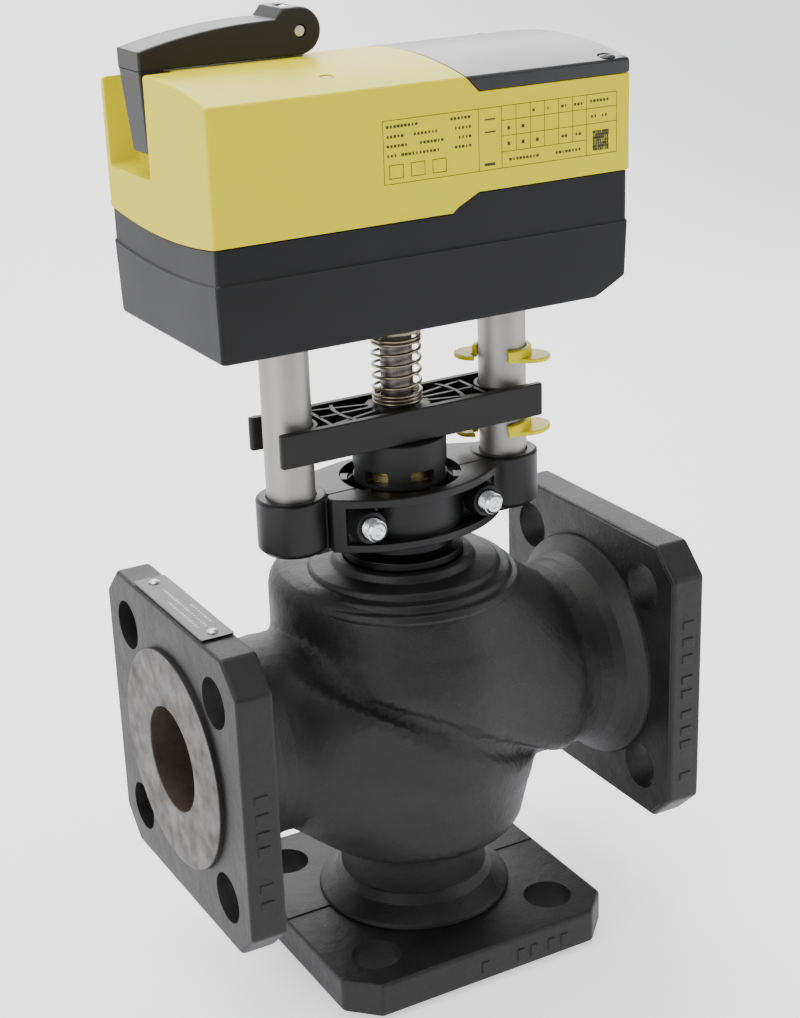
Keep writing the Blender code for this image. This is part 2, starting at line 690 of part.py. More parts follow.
def make_clamp_bar():
    """The bowed front half of the bracket, with two rims, a web and two screw bosses."""
    seam = -CLAMP_SEAM_Y - GAP
    half = CLAMP_HALF_WIDTH
    low = BRACKET_BOTTOM_Z
    high = BRACKET_TOP_Z
    bar = prism(clamp_front_arc(0.0) + [(half, seam), (-half, seam)], low, high)
    pocket = clamp_front_arc(-0.004) + [(half - 0.0035, -CLAMP_WEB_Y), (-half + 0.0035, -CLAMP_WEB_Y)]
    pocket[0] = (-half + 0.0035, pocket[0][1])
    pocket[12] = (half - 0.0035, pocket[12][1])
    bar = cut(bar, prism(pocket, low + CLAMP_RIM, high - CLAMP_RIM))
    extras = [rod(BRACKET_RING_RADIUS, low + GAP, high - GAP)]
    for side in (-1, 1):
        spot = (side * CLAMP_SCREW_X, CLAMP_SCREW_Z)
        extras.append(rod(CLAMP_BOSS_RADIUS, -CLAMP_BOSS_Y, seam - 0.002, "Y", spot))
    bar = join(bar, *extras)
    behind = box((-0.060, seam, low - OVERRUN), (0.060, 0.060, high + OVERRUN))
    bore = rod(BONNET_NECK_RADIUS + GAP, low - OVERRUN, high + OVERRUN)
    well = rod(SLEEVE_RADIUS + 0.0022, BONNET_TOP_Z, high + OVERRUN)
    bosses = [rod(BOSS_RADIUS + GAP, low - OVERRUN, high + OVERRUN, centre=(side * PILLAR_X, 0.0))
              for side in (-1, 1)]
    bar = cut(bar, behind, bore, well, *bosses, *bracket_screw_holes(-0.050, 0.010))
    node(bar, "clamp_bar", "black_plastic")


def make_console():
    """The back half of the bracket, with a boss under each pillar."""
    low = BRACKET_BOTTOM_Z
    high = BRACKET_TOP_Z
    inner_x = CLAMP_HALF_WIDTH
    seam = -CLAMP_SEAM_Y
    back = CONSOLE_BACK_Y
    outline = [(-PILLAR_X, 0.011), (-0.030, back - 0.003), (-0.012, back + 0.002)]
    outline += [(0.012, back + 0.002), (0.030, back - 0.003), (PILLAR_X, 0.011)]
    outline += [(PILLAR_X, -0.010), (inner_x + GAP, -0.010), (inner_x + GAP, seam)]
    outline += [(-inner_x - GAP, seam), (-inner_x - GAP, -0.010), (-PILLAR_X, -0.010)]
    console = prism(outline, low, high)
    bosses = []
    for side in (-1, 1):
        profile = [(0.0, low), (BOSS_RADIUS - 0.002, low), (BOSS_RADIUS, low + 0.002)]
        profile += [(BOSS_RADIUS, high - 0.0008), (BOSS_RADIUS - 0.0008, high), (0.0, high)]
        bosses.append(turned(profile, "Z", (side * PILLAR_X, 0.0)))
    console = join(console, *bosses)
    cuts = [rod(BONNET_NECK_RADIUS + GAP, low - OVERRUN, high + OVERRUN)]
    cuts.append(rod(SLEEVE_RADIUS + 0.0022, BONNET_TOP_Z, high + OVERRUN))
    cuts += bracket_screw_holes(-0.050, 0.050)
    for side in (-1, 1):
        spot = (side * PILLAR_X, 0.0)
        cuts.append(rod(PILLAR_RADIUS + GAP, PILLAR_SOCKET_FLOOR_Z, high + OVERRUN, centre=spot))
        cuts.append(rod(PILLAR_SCREW_RADIUS + SCREW_FIT, low - OVERRUN, PILLAR_SOCKET_FLOOR_Z + OVERRUN,
                        centre=spot))
        cuts.append(rod(PILLAR_SCREW_HEAD_RADIUS + SCREW_FIT, low - OVERRUN, low + PILLAR_SCREW_RECESS,
                        centre=spot))
        seat = side * CLAMP_SCREW_X
        pocket = box((seat - 0.0085, back - 0.0085, low + CLAMP_RIM),
                     (seat + 0.0085, back + 0.010, high - CLAMP_RIM))
        cuts.append(pocket)
    node(cut(console, *cuts), "console_bracket", "black_plastic")


def make_clamp_screws():
    """Two hexagon screws that pull the clamp bar onto the console from behind."""
    seat = CONSOLE_BACK_Y - 0.0085 + GAP
    for side, word in ((-1, "left"), (1, "right")):
        x = side * CLAMP_SCREW_X
        head = prism(hexagon(SCREW_HEAD_FLATS, x, CLAMP_SCREW_Z), seat, seat + SCREW_HEAD_HEIGHT, "Y")
        tip = -CLAMP_SCREW_TIP_Y
        profile = [(0.0, tip), (0.0030, tip), (CLAMP_SCREW_RADIUS, tip + OVERRUN)]
        profile += [(CLAMP_SCREW_RADIUS, seat + OVERRUN), (0.0, seat + OVERRUN)]
        shank = turned(profile, "Y", (x, CLAMP_SCREW_Z))
        node(join(head, shank), "clamp_screw_" + word, "zinc_steel")


def make_pillars():
    """The two pillars, tapped at both ends."""
    low = PILLAR_SOCKET_FLOOR_Z + GAP
    high = LOWER_PLATE_Z - GAP
    for side, word in ((-1, "left"), (1, "right")):
        spot = (side * PILLAR_X, 0.0)
        pillar = rod(PILLAR_RADIUS, low, high, centre=spot)
        tap = PILLAR_SCREW_RADIUS + SCREW_FIT
        bottom_tap = rod(tap, low - OVERRUN, low + PILLAR_TAP_DEPTH, centre=spot)
        top_tap = rod(tap, high - PILLAR_TAP_DEPTH, high + OVERRUN, centre=spot)
        node(cut(pillar, bottom_tap, top_tap), "pillar_" + word, "satin_pillar")


def make_pillar_screws():
    """Screws from under the console and from the top of the gear plate into the pillars."""
    radius = PILLAR_SCREW_RADIUS
    head = PILLAR_SCREW_HEAD_RADIUS
    under = BRACKET_BOTTOM_Z + PILLAR_SCREW_RECESS - GAP
    over = PLATE_TOP_Z + GAP
    height = PILLAR_SCREW_HEAD_HEIGHT
    for side, word in ((-1, "left"), (1, "right")):
        spot = (side * PILLAR_X, 0.0)
        end = under + PILLAR_SCREW_LENGTH
        profile = [(0.0, under - height), (head, under - height), (head, under)]
        profile += [(radius, under), (radius, end), (0.0, end)]
        screw = turned(profile, "Z", spot)
        hexagon_socket = prism(hexagon(0.005, *spot), under - height - OVERRUN, under - height + 0.002)
        node(cut(screw, hexagon_socket), "lower_pillar_screw_" + word, "zinc_steel")
        end = over - PILLAR_SCREW_LENGTH
        profile = [(0.0, end), (radius, end), (radius, over), (head, over)]
        profile += [(head, over + height), (0.0, over + height)]
        screw = turned(profile, "Z", spot)
        hexagon_socket = prism(hexagon(0.005, *spot), over + height - 0.002, over + height + OVERRUN)
        node(cut(screw, hexagon_socket), "upper_pillar_screw_" + word, "zinc_steel")


def make_coupling():
    """The sleeve with its windows, and the two brass jaws that grip the stem."""
    low = SLEEVE_BOTTOM_Z
    high = CROSS_BOTTOM_Z - GAP
    roof = high - SLEEVE_ROOF
    hole = SPINDLE_RADIUS + GAP
    profile = [(SLEEVE_BORE_RADIUS, low), (SLEEVE_RADIUS, low), (SLEEVE_RADIUS, high), (hole, high)]
    profile += [(hole, roof), (SLEEVE_BORE_RADIUS, roof)]
    sleeve = turned(profile)
    windows = []
    for index in range(WINDOW_COUNT // 2):
        angle = math.tau * index / WINDOW_COUNT + math.radians(30)
        bar = box((-0.030, -WINDOW_WIDTH / 2, low + WINDOW_BOTTOM),
                  (0.030, WINDOW_WIDTH / 2, low + WINDOW_BOTTOM + WINDOW_HEIGHT))
        bar.rotation_euler.z = angle
        windows.append(bar)
    bpy.context.view_layer.update()
    node(cut(sleeve, *windows), "coupling_sleeve", "black_plastic")
    bottom = low + WINDOW_BOTTOM
    for side, word in ((-1, "front"), (1, "back")):
        jaw = tube(JAW_RADIUS, STEM_GROOVE_RADIUS + GAP, bottom, bottom + JAW_HEIGHT)
        far = side * 0.020
        near = side * GAP
        half = box((-0.020, min(far, near), bottom - OVERRUN), (0.020, max(far, near), bottom + 0.010))
        node(keep(jaw, half), "coupling_jaw_" + word, "brass")


def bar_between(start, end, width, low, high):
    """A straight rib from one (x, y) point to another."""
    run = Vector((end[0] - start[0], end[1] - start[1]))
    side = Vector((-run.y, run.x)).normalized() * (width / 2)
    outline = [(start[0] - side.x, start[1] - side.y), (end[0] - side.x, end[1] - side.y)]
    outline += [(end[0] + side.x, end[1] + side.y), (start[0] + side.x, start[1] + side.y)]
    return prism(outline, low, high)


def make_crosspiece():
    """The ribbed anti-rotation bar that slides between the pillars."""
    low = CROSS_BOTTOM_Z
    high = CROSS_TOP_Z
    outer = CROSS_BAR_OUTER_Y
    inner = outer - CROSS_BAR_THICKNESS
    half = CROSS_LENGTH / 2
    floor_high = low + 0.004 + CROSS_FLOOR
    plate = box((-CROSS_PLATE_HALF, -inner - OVERRUN, low + 0.004),
                (CROSS_PLATE_HALF, inner + OVERRUN, floor_high))
    pieces = []
    for side in (-1, 1):
        near = min(side * inner, side * outer)
        pieces.append(box((-half, near, low), (half, near + CROSS_BAR_THICKNESS, high)))
    ring = tube(CROSS_RIB_RING_RADIUS, CROSS_RIB_RING_RADIUS - CROSS_RIB,
                floor_high - OVERRUN, high - 0.0006)
    trim = box((-0.040, -inner - 0.0005, low), (0.040, inner + 0.0005, high))
    pieces.append(keep(ring, trim))
    pieces.append(rod(CROSS_HUB_RADIUS, low + GAP, high - CROSS_HUB_DROP))
    guide = PILLAR_X - PILLAR_RADIUS - 0.004
    start = CROSS_HUB_RADIUS - 0.002
    ribs = [((0.0, -inner - 0.0005), (0.0, inner + 0.0005))]
    for side in (-1, 1):
        ribs.append(((side * start, 0.0), (side * guide, 0.0)))
        ribs.append(((side * guide, -inner - 0.0005), (side * guide, inner + 0.0005)))
        for level in (-1, 1):
            ribs.append(((side * start, level * 0.004),
                         (side * (guide - 0.0002), level * (inner - OVERRUN))))
    for index, (begin, end) in enumerate(ribs):
        drop = (index + 1) * RIB_STAGGER
        pieces.append(bar_between(begin, end, CROSS_RIB, floor_high - OVERRUN - drop, high - 0.0006 - drop))
    cross = join(plate, *pieces)
    cuts = [rod(SPINDLE_RADIUS + GAP, low - OVERRUN, high + OVERRUN)]
    for side in (-1, 1):
        spot = (side * PILLAR_X, 0.0)
        cuts.append(rod(PILLAR_RADIUS + RUNNING_FIT, low - OVERRUN, high + OVERRUN, centre=spot))
    node(cut(cross, *cuts), "crosspiece", "black_plastic")


def make_spindle():
    """The threaded spindle, grooved for the retaining ring."""
    ring_low = SPRING_TOP_Z + GAP + WASHER_THICKNESS + GAP
    radius = SPINDLE_RADIUS
    groove = RING_GROOVE_RADIUS
    profile = [(0.0, SPINDLE_BOTTOM_Z), (radius, SPINDLE_BOTTOM_Z), (radius, ring_low - GAP)]
    profile += [(groove, ring_low - GAP), (groove, ring_low + RETAINER_THICKNESS + GAP)]
    profile += [(radius, ring_low + RETAINER_THICKNESS + GAP), (radius, SPINDLE_TOP_Z - OVERRUN)]
    profile += [(radius - OVERRUN, SPINDLE_TOP_Z), (0.0, SPINDLE_TOP_Z)]
    node(turned(profile), "drive_spindle", "plain_steel")
    low = SPRING_TOP_Z + GAP
    washer = tube(WASHER_RADIUS, SPINDLE_RADIUS + GAP, low, low + WASHER_THICKNESS)
    node(washer, "spring_washer", "spring_steel")
    ring = tube(RETAINER_RADIUS, groove + GAP, ring_low, ring_low + RETAINER_THICKNESS)
    slit = box((-0.002, 0.0, ring_low - OVERRUN), (0.002, 0.020, ring_low + 0.010))
    node(cut(ring, slit), "retaining_ring", "plain_steel")


def spring_height(turn, bottom, open_pitch):
    """Height of the wire's middle after a number of turns."""
    closed = min(turn, SPRING_BOTTOM_TURNS) * CLOSED_PITCH
    opened = min(max(turn - SPRING_BOTTOM_TURNS, 0.0), SPRING_OPEN_TURNS) * open_pitch
    last = max(turn - SPRING_BOTTOM_TURNS - SPRING_OPEN_TURNS, 0.0) * CLOSED_PITCH
    return bottom + closed + opened + last


def make_spring():
    """The coupling spring, with closed coils at both ends."""
    bottom = CROSS_TOP_Z - CROSS_HUB_DROP + GAP + SPRING_WIRE / 2
    top = SPRING_TOP_Z - SPRING_WIRE / 2
    closed = (SPRING_BOTTOM_TURNS + SPRING_TOP_TURNS) * CLOSED_PITCH
    open_pitch = (top - bottom - closed) / SPRING_OPEN_TURNS
    turns = SPRING_BOTTOM_TURNS + SPRING_OPEN_TURNS + SPRING_TOP_TURNS
    per_turn = 12
    sides = 5
    count = int(turns * per_turn)
    verts = []
    for index in range(count + 1):
        turn = index / per_turn
        angle = math.tau * turn
        outward = Vector((math.cos(angle), math.sin(angle), 0.0))
        middle = outward * SPRING_RADIUS + Vector((0.0, 0.0, spring_height(turn, bottom, open_pitch)))
        for side in range(sides):
            around = math.tau * side / sides
            lift = Vector((0.0, 0.0, math.sin(around)))
            verts.append(middle + (outward * math.cos(around) + lift) * (SPRING_WIRE / 2))
    faces = []
    for index in range(count):
        for side in range(sides):
            after = (side + 1) % sides
            here = index * sides
            faces.append((here + side, here + after, here + sides + after, here + sides + side))
    faces.append(tuple(range(sides)))
    faces.append(tuple(range(count * sides, (count + 1) * sides)))
    node(shape(verts, faces), "coupling_spring", "spring_steel")


def make_indicator(name, bottom):
    """A collar, open on one side, that snaps onto the right pillar, with two wings."""
    wing_top = bottom + INDICATOR_WING_THICKNESS
    half = INDICATOR_WING_WIDTH / 2
    reach = INDICATOR_WING_REACH
    outline = arc(reach - half, 0.0, half, -90, 90, 8) + arc(half - reach, 0.0, half, 90, 270, 8)
    wings = prism(outline, bottom, wing_top)
    high = bottom + INDICATOR_COLLAR_HEIGHT
    collar = rod(INDICATOR_COLLAR_RADIUS, bottom + GAP / 2, high)
    clip = join(wings, collar)
    bore = rod(PILLAR_RADIUS + GAP, bottom - OVERRUN, high + OVERRUN)
    mouth = arc(0.0, 0.0, INDICATOR_COLLAR_RADIUS + GAP, INDICATOR_OPENING_START, INDICATOR_OPENING_END, 12)
    opening = prism(mouth + [(0.0, 0.0)], bottom - OVERRUN, high + OVERRUN)
    clip = cut(clip, bore, opening)
    turn = Matrix.Rotation(INDICATOR_TURN, 4, "Z")
    clip.data.transform(Matrix.Translation((PILLAR_X * WORK_SCALE, 0.0, 0.0)) @ turn)
    node(clip, name, "yellow_plastic", (PILLAR_X, 0.0, bottom))


def arc_section(edge_z, rise, half_width, steps=10):
    """Points of a shallow arch across the width, from -Y to +Y."""
    points = []
    for step in range(steps + 1):
        y = -half_width + 2 * half_width * step / steps
        points.append((y, edge_z + rise * (1 - (y / half_width) ** 2)))
    return points


def head_block(low_edge, low_rise, high_edge, high_rise, inset):
    """A block of the head's plan, with arched lower and upper faces, moved in by an inset."""
    half = HEAD_HALF_WIDTH - inset
    top = arc_section(high_edge, high_rise, half)
    bottom = arc_section(low_edge, low_rise, half)
    return prism(bottom + top[::-1], HEAD_LEFT_X + inset, HEAD_RIGHT_X - inset, "X")


def above_split(gap):
    """The space above the line where the two housings meet, stepped up on the right."""
    lift = gap
    region = head_block(SPLIT_Z - lift, -SPLIT_DIP, HEAD_TOP_Z + 0.050, 0.0, -0.010)
    start = SPLIT_STEP_X
    end = SPLIT_STEP_X + SPLIT_STEP_RUN
    low = SPLIT_Z - SPLIT_DIP - 0.010
    outline = [(start - SPLIT_STEP_RUN * 2, low), (start, SPLIT_Z - lift)]
    outline += [(end, SPLIT_Z + SPLIT_STEP - lift), (0.200, SPLIT_Z + SPLIT_STEP - lift), (0.200, low)]
    return cut(region, prism(outline, -BEYOND, BEYOND, "Y"))


def plan(inset):
    """The head's rectangular plan, moved in by an inset."""
    left = HEAD_LEFT_X + inset
    right = HEAD_RIGHT_X - inset
    half = HEAD_HALF_WIDTH - inset
    return [(left, -half), (right, -half), (right, half), (left, half)]


def corner_chamfer(inset):
    """The wedge missing from the lower right edge of the base."""
    right = HEAD_RIGHT_X - inset
    low = HEAD_BOTTOM_Z + inset
    outline = [(right - CORNER_CHAMFER_X, low - OVERRUN), (right + 0.010, low - OVERRUN)]
    outline += [(right + 0.010, low + CORNER_CHAMFER_Z + 0.005)]
    return prism(outline, -BEYOND, BEYOND, "Y")


def legs():
    """The four places where a housing screw joins the two housings."""
    middle = (HEAD_LEFT_X + HEAD_RIGHT_X) / 2
    spots = []
    for side_x in (-1, 1):
        for side_y in (-1, 1):
            spots.append((middle + side_x * HOUSING_LEG_X, side_y * HOUSING_LEG_Y))
    return spots


def board_posts():
    """The two places where a post carries the circuit board."""
    x = (BOARD_LEFT_X + BOARD_RIGHT_X) / 2 + 0.006
    return [(x, -BOARD_HALF_WIDTH + 0.004), (x, BOARD_HALF_WIDTH - 0.004)]


def make_base_housing():
    """The black lower housing: tapered below its ridge, open at the top."""
    low = HEAD_BOTTOM_Z
    base = loft(plan(BASE_TAPER), low, plan(0.0), RIDGE_Z)
    upper = prism(plan(0.0003), RIDGE_Z - OVERRUN, SPLIT_Z + SPLIT_STEP + 0.002)
    base = join(base, upper)
    base = cut(base, above_split(GAP), corner_chamfer(0.0))
    floor = low + BASE_WALL
    hollow = loft(plan(BASE_TAPER + BASE_WALL), floor, plan(BASE_WALL), RIDGE_Z)
    upper_hollow = prism(plan(BASE_WALL), RIDGE_Z - OVERRUN, SPLIT_Z + SPLIT_STEP + 0.010)
    hollow = join(hollow, upper_hollow)
    hollow = cut(hollow, corner_chamfer(BASE_WALL))
    base = cut(base, hollow)
    posts = [rod(HOUSING_LEG_RADIUS + OVERRUN, floor - OVERRUN, floor + 0.003, centre=spot)
             for spot in legs()]
    posts += [rod(BOARD_POST_RADIUS, floor - OVERRUN, BOARD_Z - GAP, centre=spot)
              for spot in board_posts()]
    base = join(base, *posts)
    cuts = [rod(SPINDLE_HOLE_RADIUS, low - OVERRUN, floor + OVERRUN)]
    for side in (-1, 1):
        spot = (side * PILLAR_X, 0.0)
        cuts.append(rod(PILLAR_RADIUS + GAP, low - OVERRUN, floor + OVERRUN, centre=spot))
        spot = (side * ENTRY_Y, ENTRY_Z)
        cuts.append(rod(ENTRY_RADIUS + GAP, HEAD_RIGHT_X - 0.010, HEAD_RIGHT_X + 0.010, "X", spot))
    for spot in legs():
        head_top = low + HOUSING_SCREW_HEAD_HEIGHT + 2 * GAP
        cuts.append(rod(HOUSING_SCREW_HEAD_RADIUS + GAP, low - OVERRUN, head_top, centre=spot))
        cuts.append(rod(HOUSING_SCREW_RADIUS + SCREW_FIT, low, floor + 0.004, centre=spot))
    node(cut(base, *cuts), "base_housing", "black_plastic")


def cover_space(gap):
    """The space that the terminal cover takes from the head, with its slanted left edge."""
    low = COVER_Z - gap
    top = HEAD_TOP_Z + HEAD_CROWN + 0.010
    slope_end = COVER_LEFT_X + (HEAD_TOP_Z - COVER_Z) - gap
    outline = [(COVER_LEFT_X - gap, top), (COVER_LEFT_X - gap, HEAD_TOP_Z), (slope_end, low)]
    outline += [(HEAD_RIGHT_X + 0.010, low), (HEAD_RIGHT_X + 0.010, top)]
    return prism(outline, -HEAD_HALF_WIDTH - 0.010, HEAD_HALF_WIDTH + 0.010, "Y")


def make_top_housing():
    """The yellow housing: an arched shell with a slot for the crank's grip."""
    shell = head_block(SPLIT_Z - 0.020, 0.0, HEAD_TOP_Z, HEAD_CROWN, 0.0)
    shell = keep(shell, above_split(0.0))
    shell = cut(shell, cover_space(GAP))
    wall = SHELL_WALL
    inner = head_block(SPLIT_Z - 0.030, 0.0, HEAD_TOP_Z - wall, HEAD_CROWN, wall)
    roof = COVER_Z - GAP - wall
    lid_side = box((COVER_LEFT_X - wall, -BEYOND, roof), (BEYOND, BEYOND, SKY_Z))
    inner = cut(inner, lid_side)
    slot_wall = box((HEAD_LEFT_X - 0.010, SLOT_NEAR_Y - wall, SLOT_FLOOR_Z - wall),
                    (HEAD_LEFT_X + SLOT_DEPTH + wall, HEAD_HALF_WIDTH, SKY_Z))
    inner = cut(inner, slot_wall)
    shell = cut(shell, inner)
    leg_low = HEAD_BOTTOM_Z + BASE_WALL + 0.003 + GAP
    leg_tops = [HEAD_TOP_Z, SLOT_FLOOR_Z - OVERRUN, roof + OVERRUN, roof + OVERRUN]
    supports = [rod(HOUSING_LEG_RADIUS, leg_low, leg_top, centre=spot)
                for spot, leg_top in zip(legs(), leg_tops)]
    shell = join(shell, *supports)
    cuts = [box((HEAD_LEFT_X - 0.010, SLOT_NEAR_Y, SLOT_FLOOR_Z),
                (HEAD_LEFT_X + SLOT_DEPTH, SLOT_FAR_Y, SKY_Z))]
    margin = COVER_HOLE_MARGIN
    cuts.append(box((COVER_LEFT_X + margin, -HEAD_HALF_WIDTH + margin, roof - OVERRUN),
                    (HEAD_RIGHT_X - margin, HEAD_HALF_WIDTH - margin, SKY_Z)))
    for side in (-1, 1):
        spot = (COVER_SCREW_X, side * COVER_SCREW_Y)
        cuts.append(rod(COVER_SCREW_RADIUS + SCREW_FIT, roof - OVERRUN, SKY_Z, centre=spot))
    for spot in legs():
        cuts.append(rod(HOUSING_SCREW_RADIUS + SCREW_FIT, leg_low - OVERRUN, leg_low + 0.016,
                        centre=spot))
    crank = (CRANK_HUB_X, CRANK_Y)
    cuts.append(rod(CRANK_SHAFT_RADIUS + RUNNING_FIT, roof, SKY_Z, centre=crank))
    status = (STATUS_X, STATUS_Y)
    cuts.append(rod(STATUS_RADIUS + GAP, roof, SKY_Z, centre=status))
    node(cut(shell, *cuts), "top_housing", "yellow_plastic")
    light_top = HEAD_TOP_Z + HEAD_CROWN * (1 - (STATUS_Y / HEAD_HALF_WIDTH) ** 2)
    light = rod(STATUS_RADIUS, light_top - 0.006, light_top - 0.0002, centre=status)
    node(light, "status_light", "light_pipe")


def make_terminal_cover():
    """The cover over the terminals, hollow underneath, and its two screws."""
    block = head_block(COVER_Z, 0.0, HEAD_TOP_Z, HEAD_CROWN, 0.0)
    cover = keep(block, cover_space(0.0))
    wall = COVER_WALL
    inner = head_block(COVER_Z - 0.010, 0.0, HEAD_TOP_Z - wall, HEAD_CROWN, wall)
    keep_clear = box((COVER_LEFT_X + COVER_HOLE_MARGIN, -COVER_POCKET_HALF_WIDTH, SPLIT_Z),
                     (COVER_SCREW_X - 0.004, COVER_POCKET_HALF_WIDTH, SKY_Z))
    cover = cut(cover, keep(inner, keep_clear))
    holes = []
    screw_top = HEAD_TOP_Z + HEAD_CROWN * (1 - (COVER_SCREW_Y / HEAD_HALF_WIDTH) ** 2)
    for side in (-1, 1):
        spot = (COVER_SCREW_X, side * COVER_SCREW_Y)
        holes.append(rod(COVER_SCREW_RADIUS + SCREW_FIT, COVER_Z - OVERRUN, SKY_Z, centre=spot))
        holes.append(rod(COVER_SCREW_HEAD_RADIUS + GAP, screw_top - COVER_SCREW_SINK, SKY_Z, centre=spot))
    node(cut(cover, *holes), "terminal_cover", "black_plastic")
    low = screw_top - COVER_SCREW_SINK + GAP
    for side, word in ((-1, "front"), (1, "back")):
        spot = (COVER_SCREW_X, side * COVER_SCREW_Y)
        head = COVER_SCREW_HEAD_RADIUS
        profile = [(0.0, low - COVER_SCREW_LENGTH), (COVER_SCREW_RADIUS, low - COVER_SCREW_LENGTH)]
        profile += [(COVER_SCREW_RADIUS, low), (head, low), (head, low + 0.0012)]
        profile += [(head - 0.0006, low + 0.0018), (0.0, low + 0.0018)]
        node(turned(profile, "Z", spot), "cover_screw_" + word, "black_plastic")


def make_housing_screws():
    """Four screws from underneath that hold the yellow housing down."""
    low = HEAD_BOTTOM_Z + GAP
    head = HOUSING_SCREW_HEAD_RADIUS
    for index, spot in enumerate(legs()):
        step = low + HOUSING_SCREW_HEAD_HEIGHT
        end = step + HOUSING_SCREW_LENGTH
        profile = [(0.0, low), (head, low), (head, step), (HOUSING_SCREW_RADIUS, step)]
        profile += [(HOUSING_SCREW_RADIUS, end), (0.0, end)]
        node(turned(profile, "Z", spot), "housing_screw_" + str(index + 1), "zinc_steel")


def make_entry_plugs():
    """Two blanking plugs in the cable entries of the right end."""
    for side, word in ((-1, "front"), (1, "back")):
        spot = (side * ENTRY_Y, ENTRY_Z)
        face = HEAD_RIGHT_X + GAP
        inner = HEAD_RIGHT_X - ENTRY_LENGTH
        out = face + ENTRY_HEAD_THICKNESS
        profile = [(0.0, inner), (ENTRY_RADIUS, inner), (ENTRY_RADIUS, face), (ENTRY_HEAD_RADIUS, face)]
        profile += [(ENTRY_HEAD_RADIUS, out - 0.0006), (ENTRY_HEAD_RADIUS - 0.0006, out), (0.0, out)]
        node(turned(profile, "X", spot), "entry_plug_" + word, "black_plastic")


def crank_side_outline():
    """The crank's arm seen from the side: a flat underside, a bowed back and a round hub."""
    low = CRANK_UNDERSIDE_Z
    hub_x = CRANK_HUB_X
    hub_z = CRANK_HUB_Z
    radius = CRANK_HUB_RADIUS
    left = HEAD_LEFT_X + 0.0004
    root = hub_x - radius - 0.0045
    points = [(left, low)]
    points += arc(hub_x, hub_z, radius, 270, 450, 12)
    points.append((hub_x - radius * 0.75, hub_z + radius))
    points.append((hub_x - radius - OVERRUN, low + CRANK_ARM_ROOT_HEIGHT))
    span = root - left
    for step in range(9):
        share = step / 8
        rise = CRANK_ARM_TIP_HEIGHT + (CRANK_ARM_ROOT_HEIGHT - CRANK_ARM_TIP_HEIGHT) * (1 - share ** 2)
        points.append((root - span * share, low + rise))
    return points


def make_crank():
    """The folding crank, the shaft that it turns, and the pin between them."""
    near = CRANK_Y - CRANK_WIDTH / 2
    far = CRANK_Y + CRANK_WIDTH / 2
    arm = prism(crank_side_outline(), near, far, "Y")
    left = HEAD_LEFT_X + 0.0004
    bottom = CRANK_UNDERSIDE_Z - CRANK_GRIP_LENGTH
    top = CRANK_UNDERSIDE_Z + OVERRUN
    narrow = far - (CRANK_WIDTH - CRANK_GRIP_END_WIDTH)
    right = left + CRANK_GRIP_THICKNESS
    wide_outline = [(left, near), (right, near), (right, far), (left, far)]
    end_outline = [(left + 0.0012, near), (right, near), (right, narrow), (left + 0.0012, narrow)]
    grip = loft(end_outline, bottom, wide_outline, top)
    arm = join(arm, grip)
    spot = (CRANK_HUB_X, CRANK_HUB_Z)
    half_tongue = CRANK_TONGUE_WIDTH / 2 + RUNNING_FIT
    room = CRANK_HUB_RADIUS + GAP
    lean = math.degrees(math.acos((CRANK_NECK_HALF + RUNNING_FIT) / room))
    fork_outline = arc(*spot, room, 180 - lean, 180 + lean, 14)
    reach = 2.5 * CRANK_HUB_RADIUS
    edge_x = CRANK_HUB_X - CRANK_NECK_HALF - RUNNING_FIT
    fork_outline += [(edge_x, CRANK_HUB_Z - reach), (CRANK_HUB_X + reach, CRANK_HUB_Z - reach)]
    fork_outline += [(CRANK_HUB_X + reach, CRANK_HUB_Z + reach), (edge_x, CRANK_HUB_Z + reach)]
    fork = prism(fork_outline, CRANK_Y - half_tongue, CRANK_Y + half_tongue, "Y")
    pin_hole = rod(CRANK_PIN_RADIUS + GAP, near - OVERRUN, far + OVERRUN, "Y", spot)
    origin = (CRANK_HUB_X, CRANK_Y, CRANK_HUB_Z)
    node(cut(arm, fork, pin_hole), "crank_handle", "black_plastic", origin)
    tongue_low = CRANK_Y - CRANK_TONGUE_WIDTH / 2
    tongue_high = CRANK_Y + CRANK_TONGUE_WIDTH / 2
    shaft = rod(CRANK_SHAFT_RADIUS, UPPER_PLATE_Z + OVERRUN, CRANK_UNDERSIDE_Z - CRANK_LIFT - OVERRUN,
                centre=(CRANK_HUB_X, CRANK_Y))
    disc = rod(CRANK_HUB_RADIUS - 0.0002, tongue_low, tongue_high, "Y", spot)
    neck = box((CRANK_HUB_X - CRANK_NECK_HALF, tongue_low, CRANK_UNDERSIDE_Z - 0.004),
               (CRANK_HUB_X + CRANK_NECK_HALF, tongue_high, CRANK_HUB_Z))
    hub = join(shaft, neck, disc)
    pin_way = rod(CRANK_PIN_RADIUS + GAP, tongue_low - OVERRUN, tongue_high + OVERRUN, "Y", spot)
    node(cut(hub, pin_way), "crank_shaft", "plain_steel")
    pin = rod(CRANK_PIN_RADIUS, near + 0.0004, far - 0.0004, "Y", spot)
    node(pin, "crank_pin", "zinc_steel")


def gear_outline(teeth, phase, centre):
    """A spur gear's outline with straight flanks and room for backlash."""
    pitch = math.tau / teeth
    tip = GEAR_MODULE * (teeth / 2 + 0.80)
    root = GEAR_MODULE * (teeth / 2 - 1.15)
    points = []
    for index in range(teeth):
        middle = phase + index * pitch
        for radius, share in ((root, -0.26), (tip, -0.09), (tip, 0.09), (root, 0.26)):
            angle = middle + share * pitch
            points.append((centre[0] + radius * math.cos(angle), centre[1] + radius * math.sin(angle)))
    return points


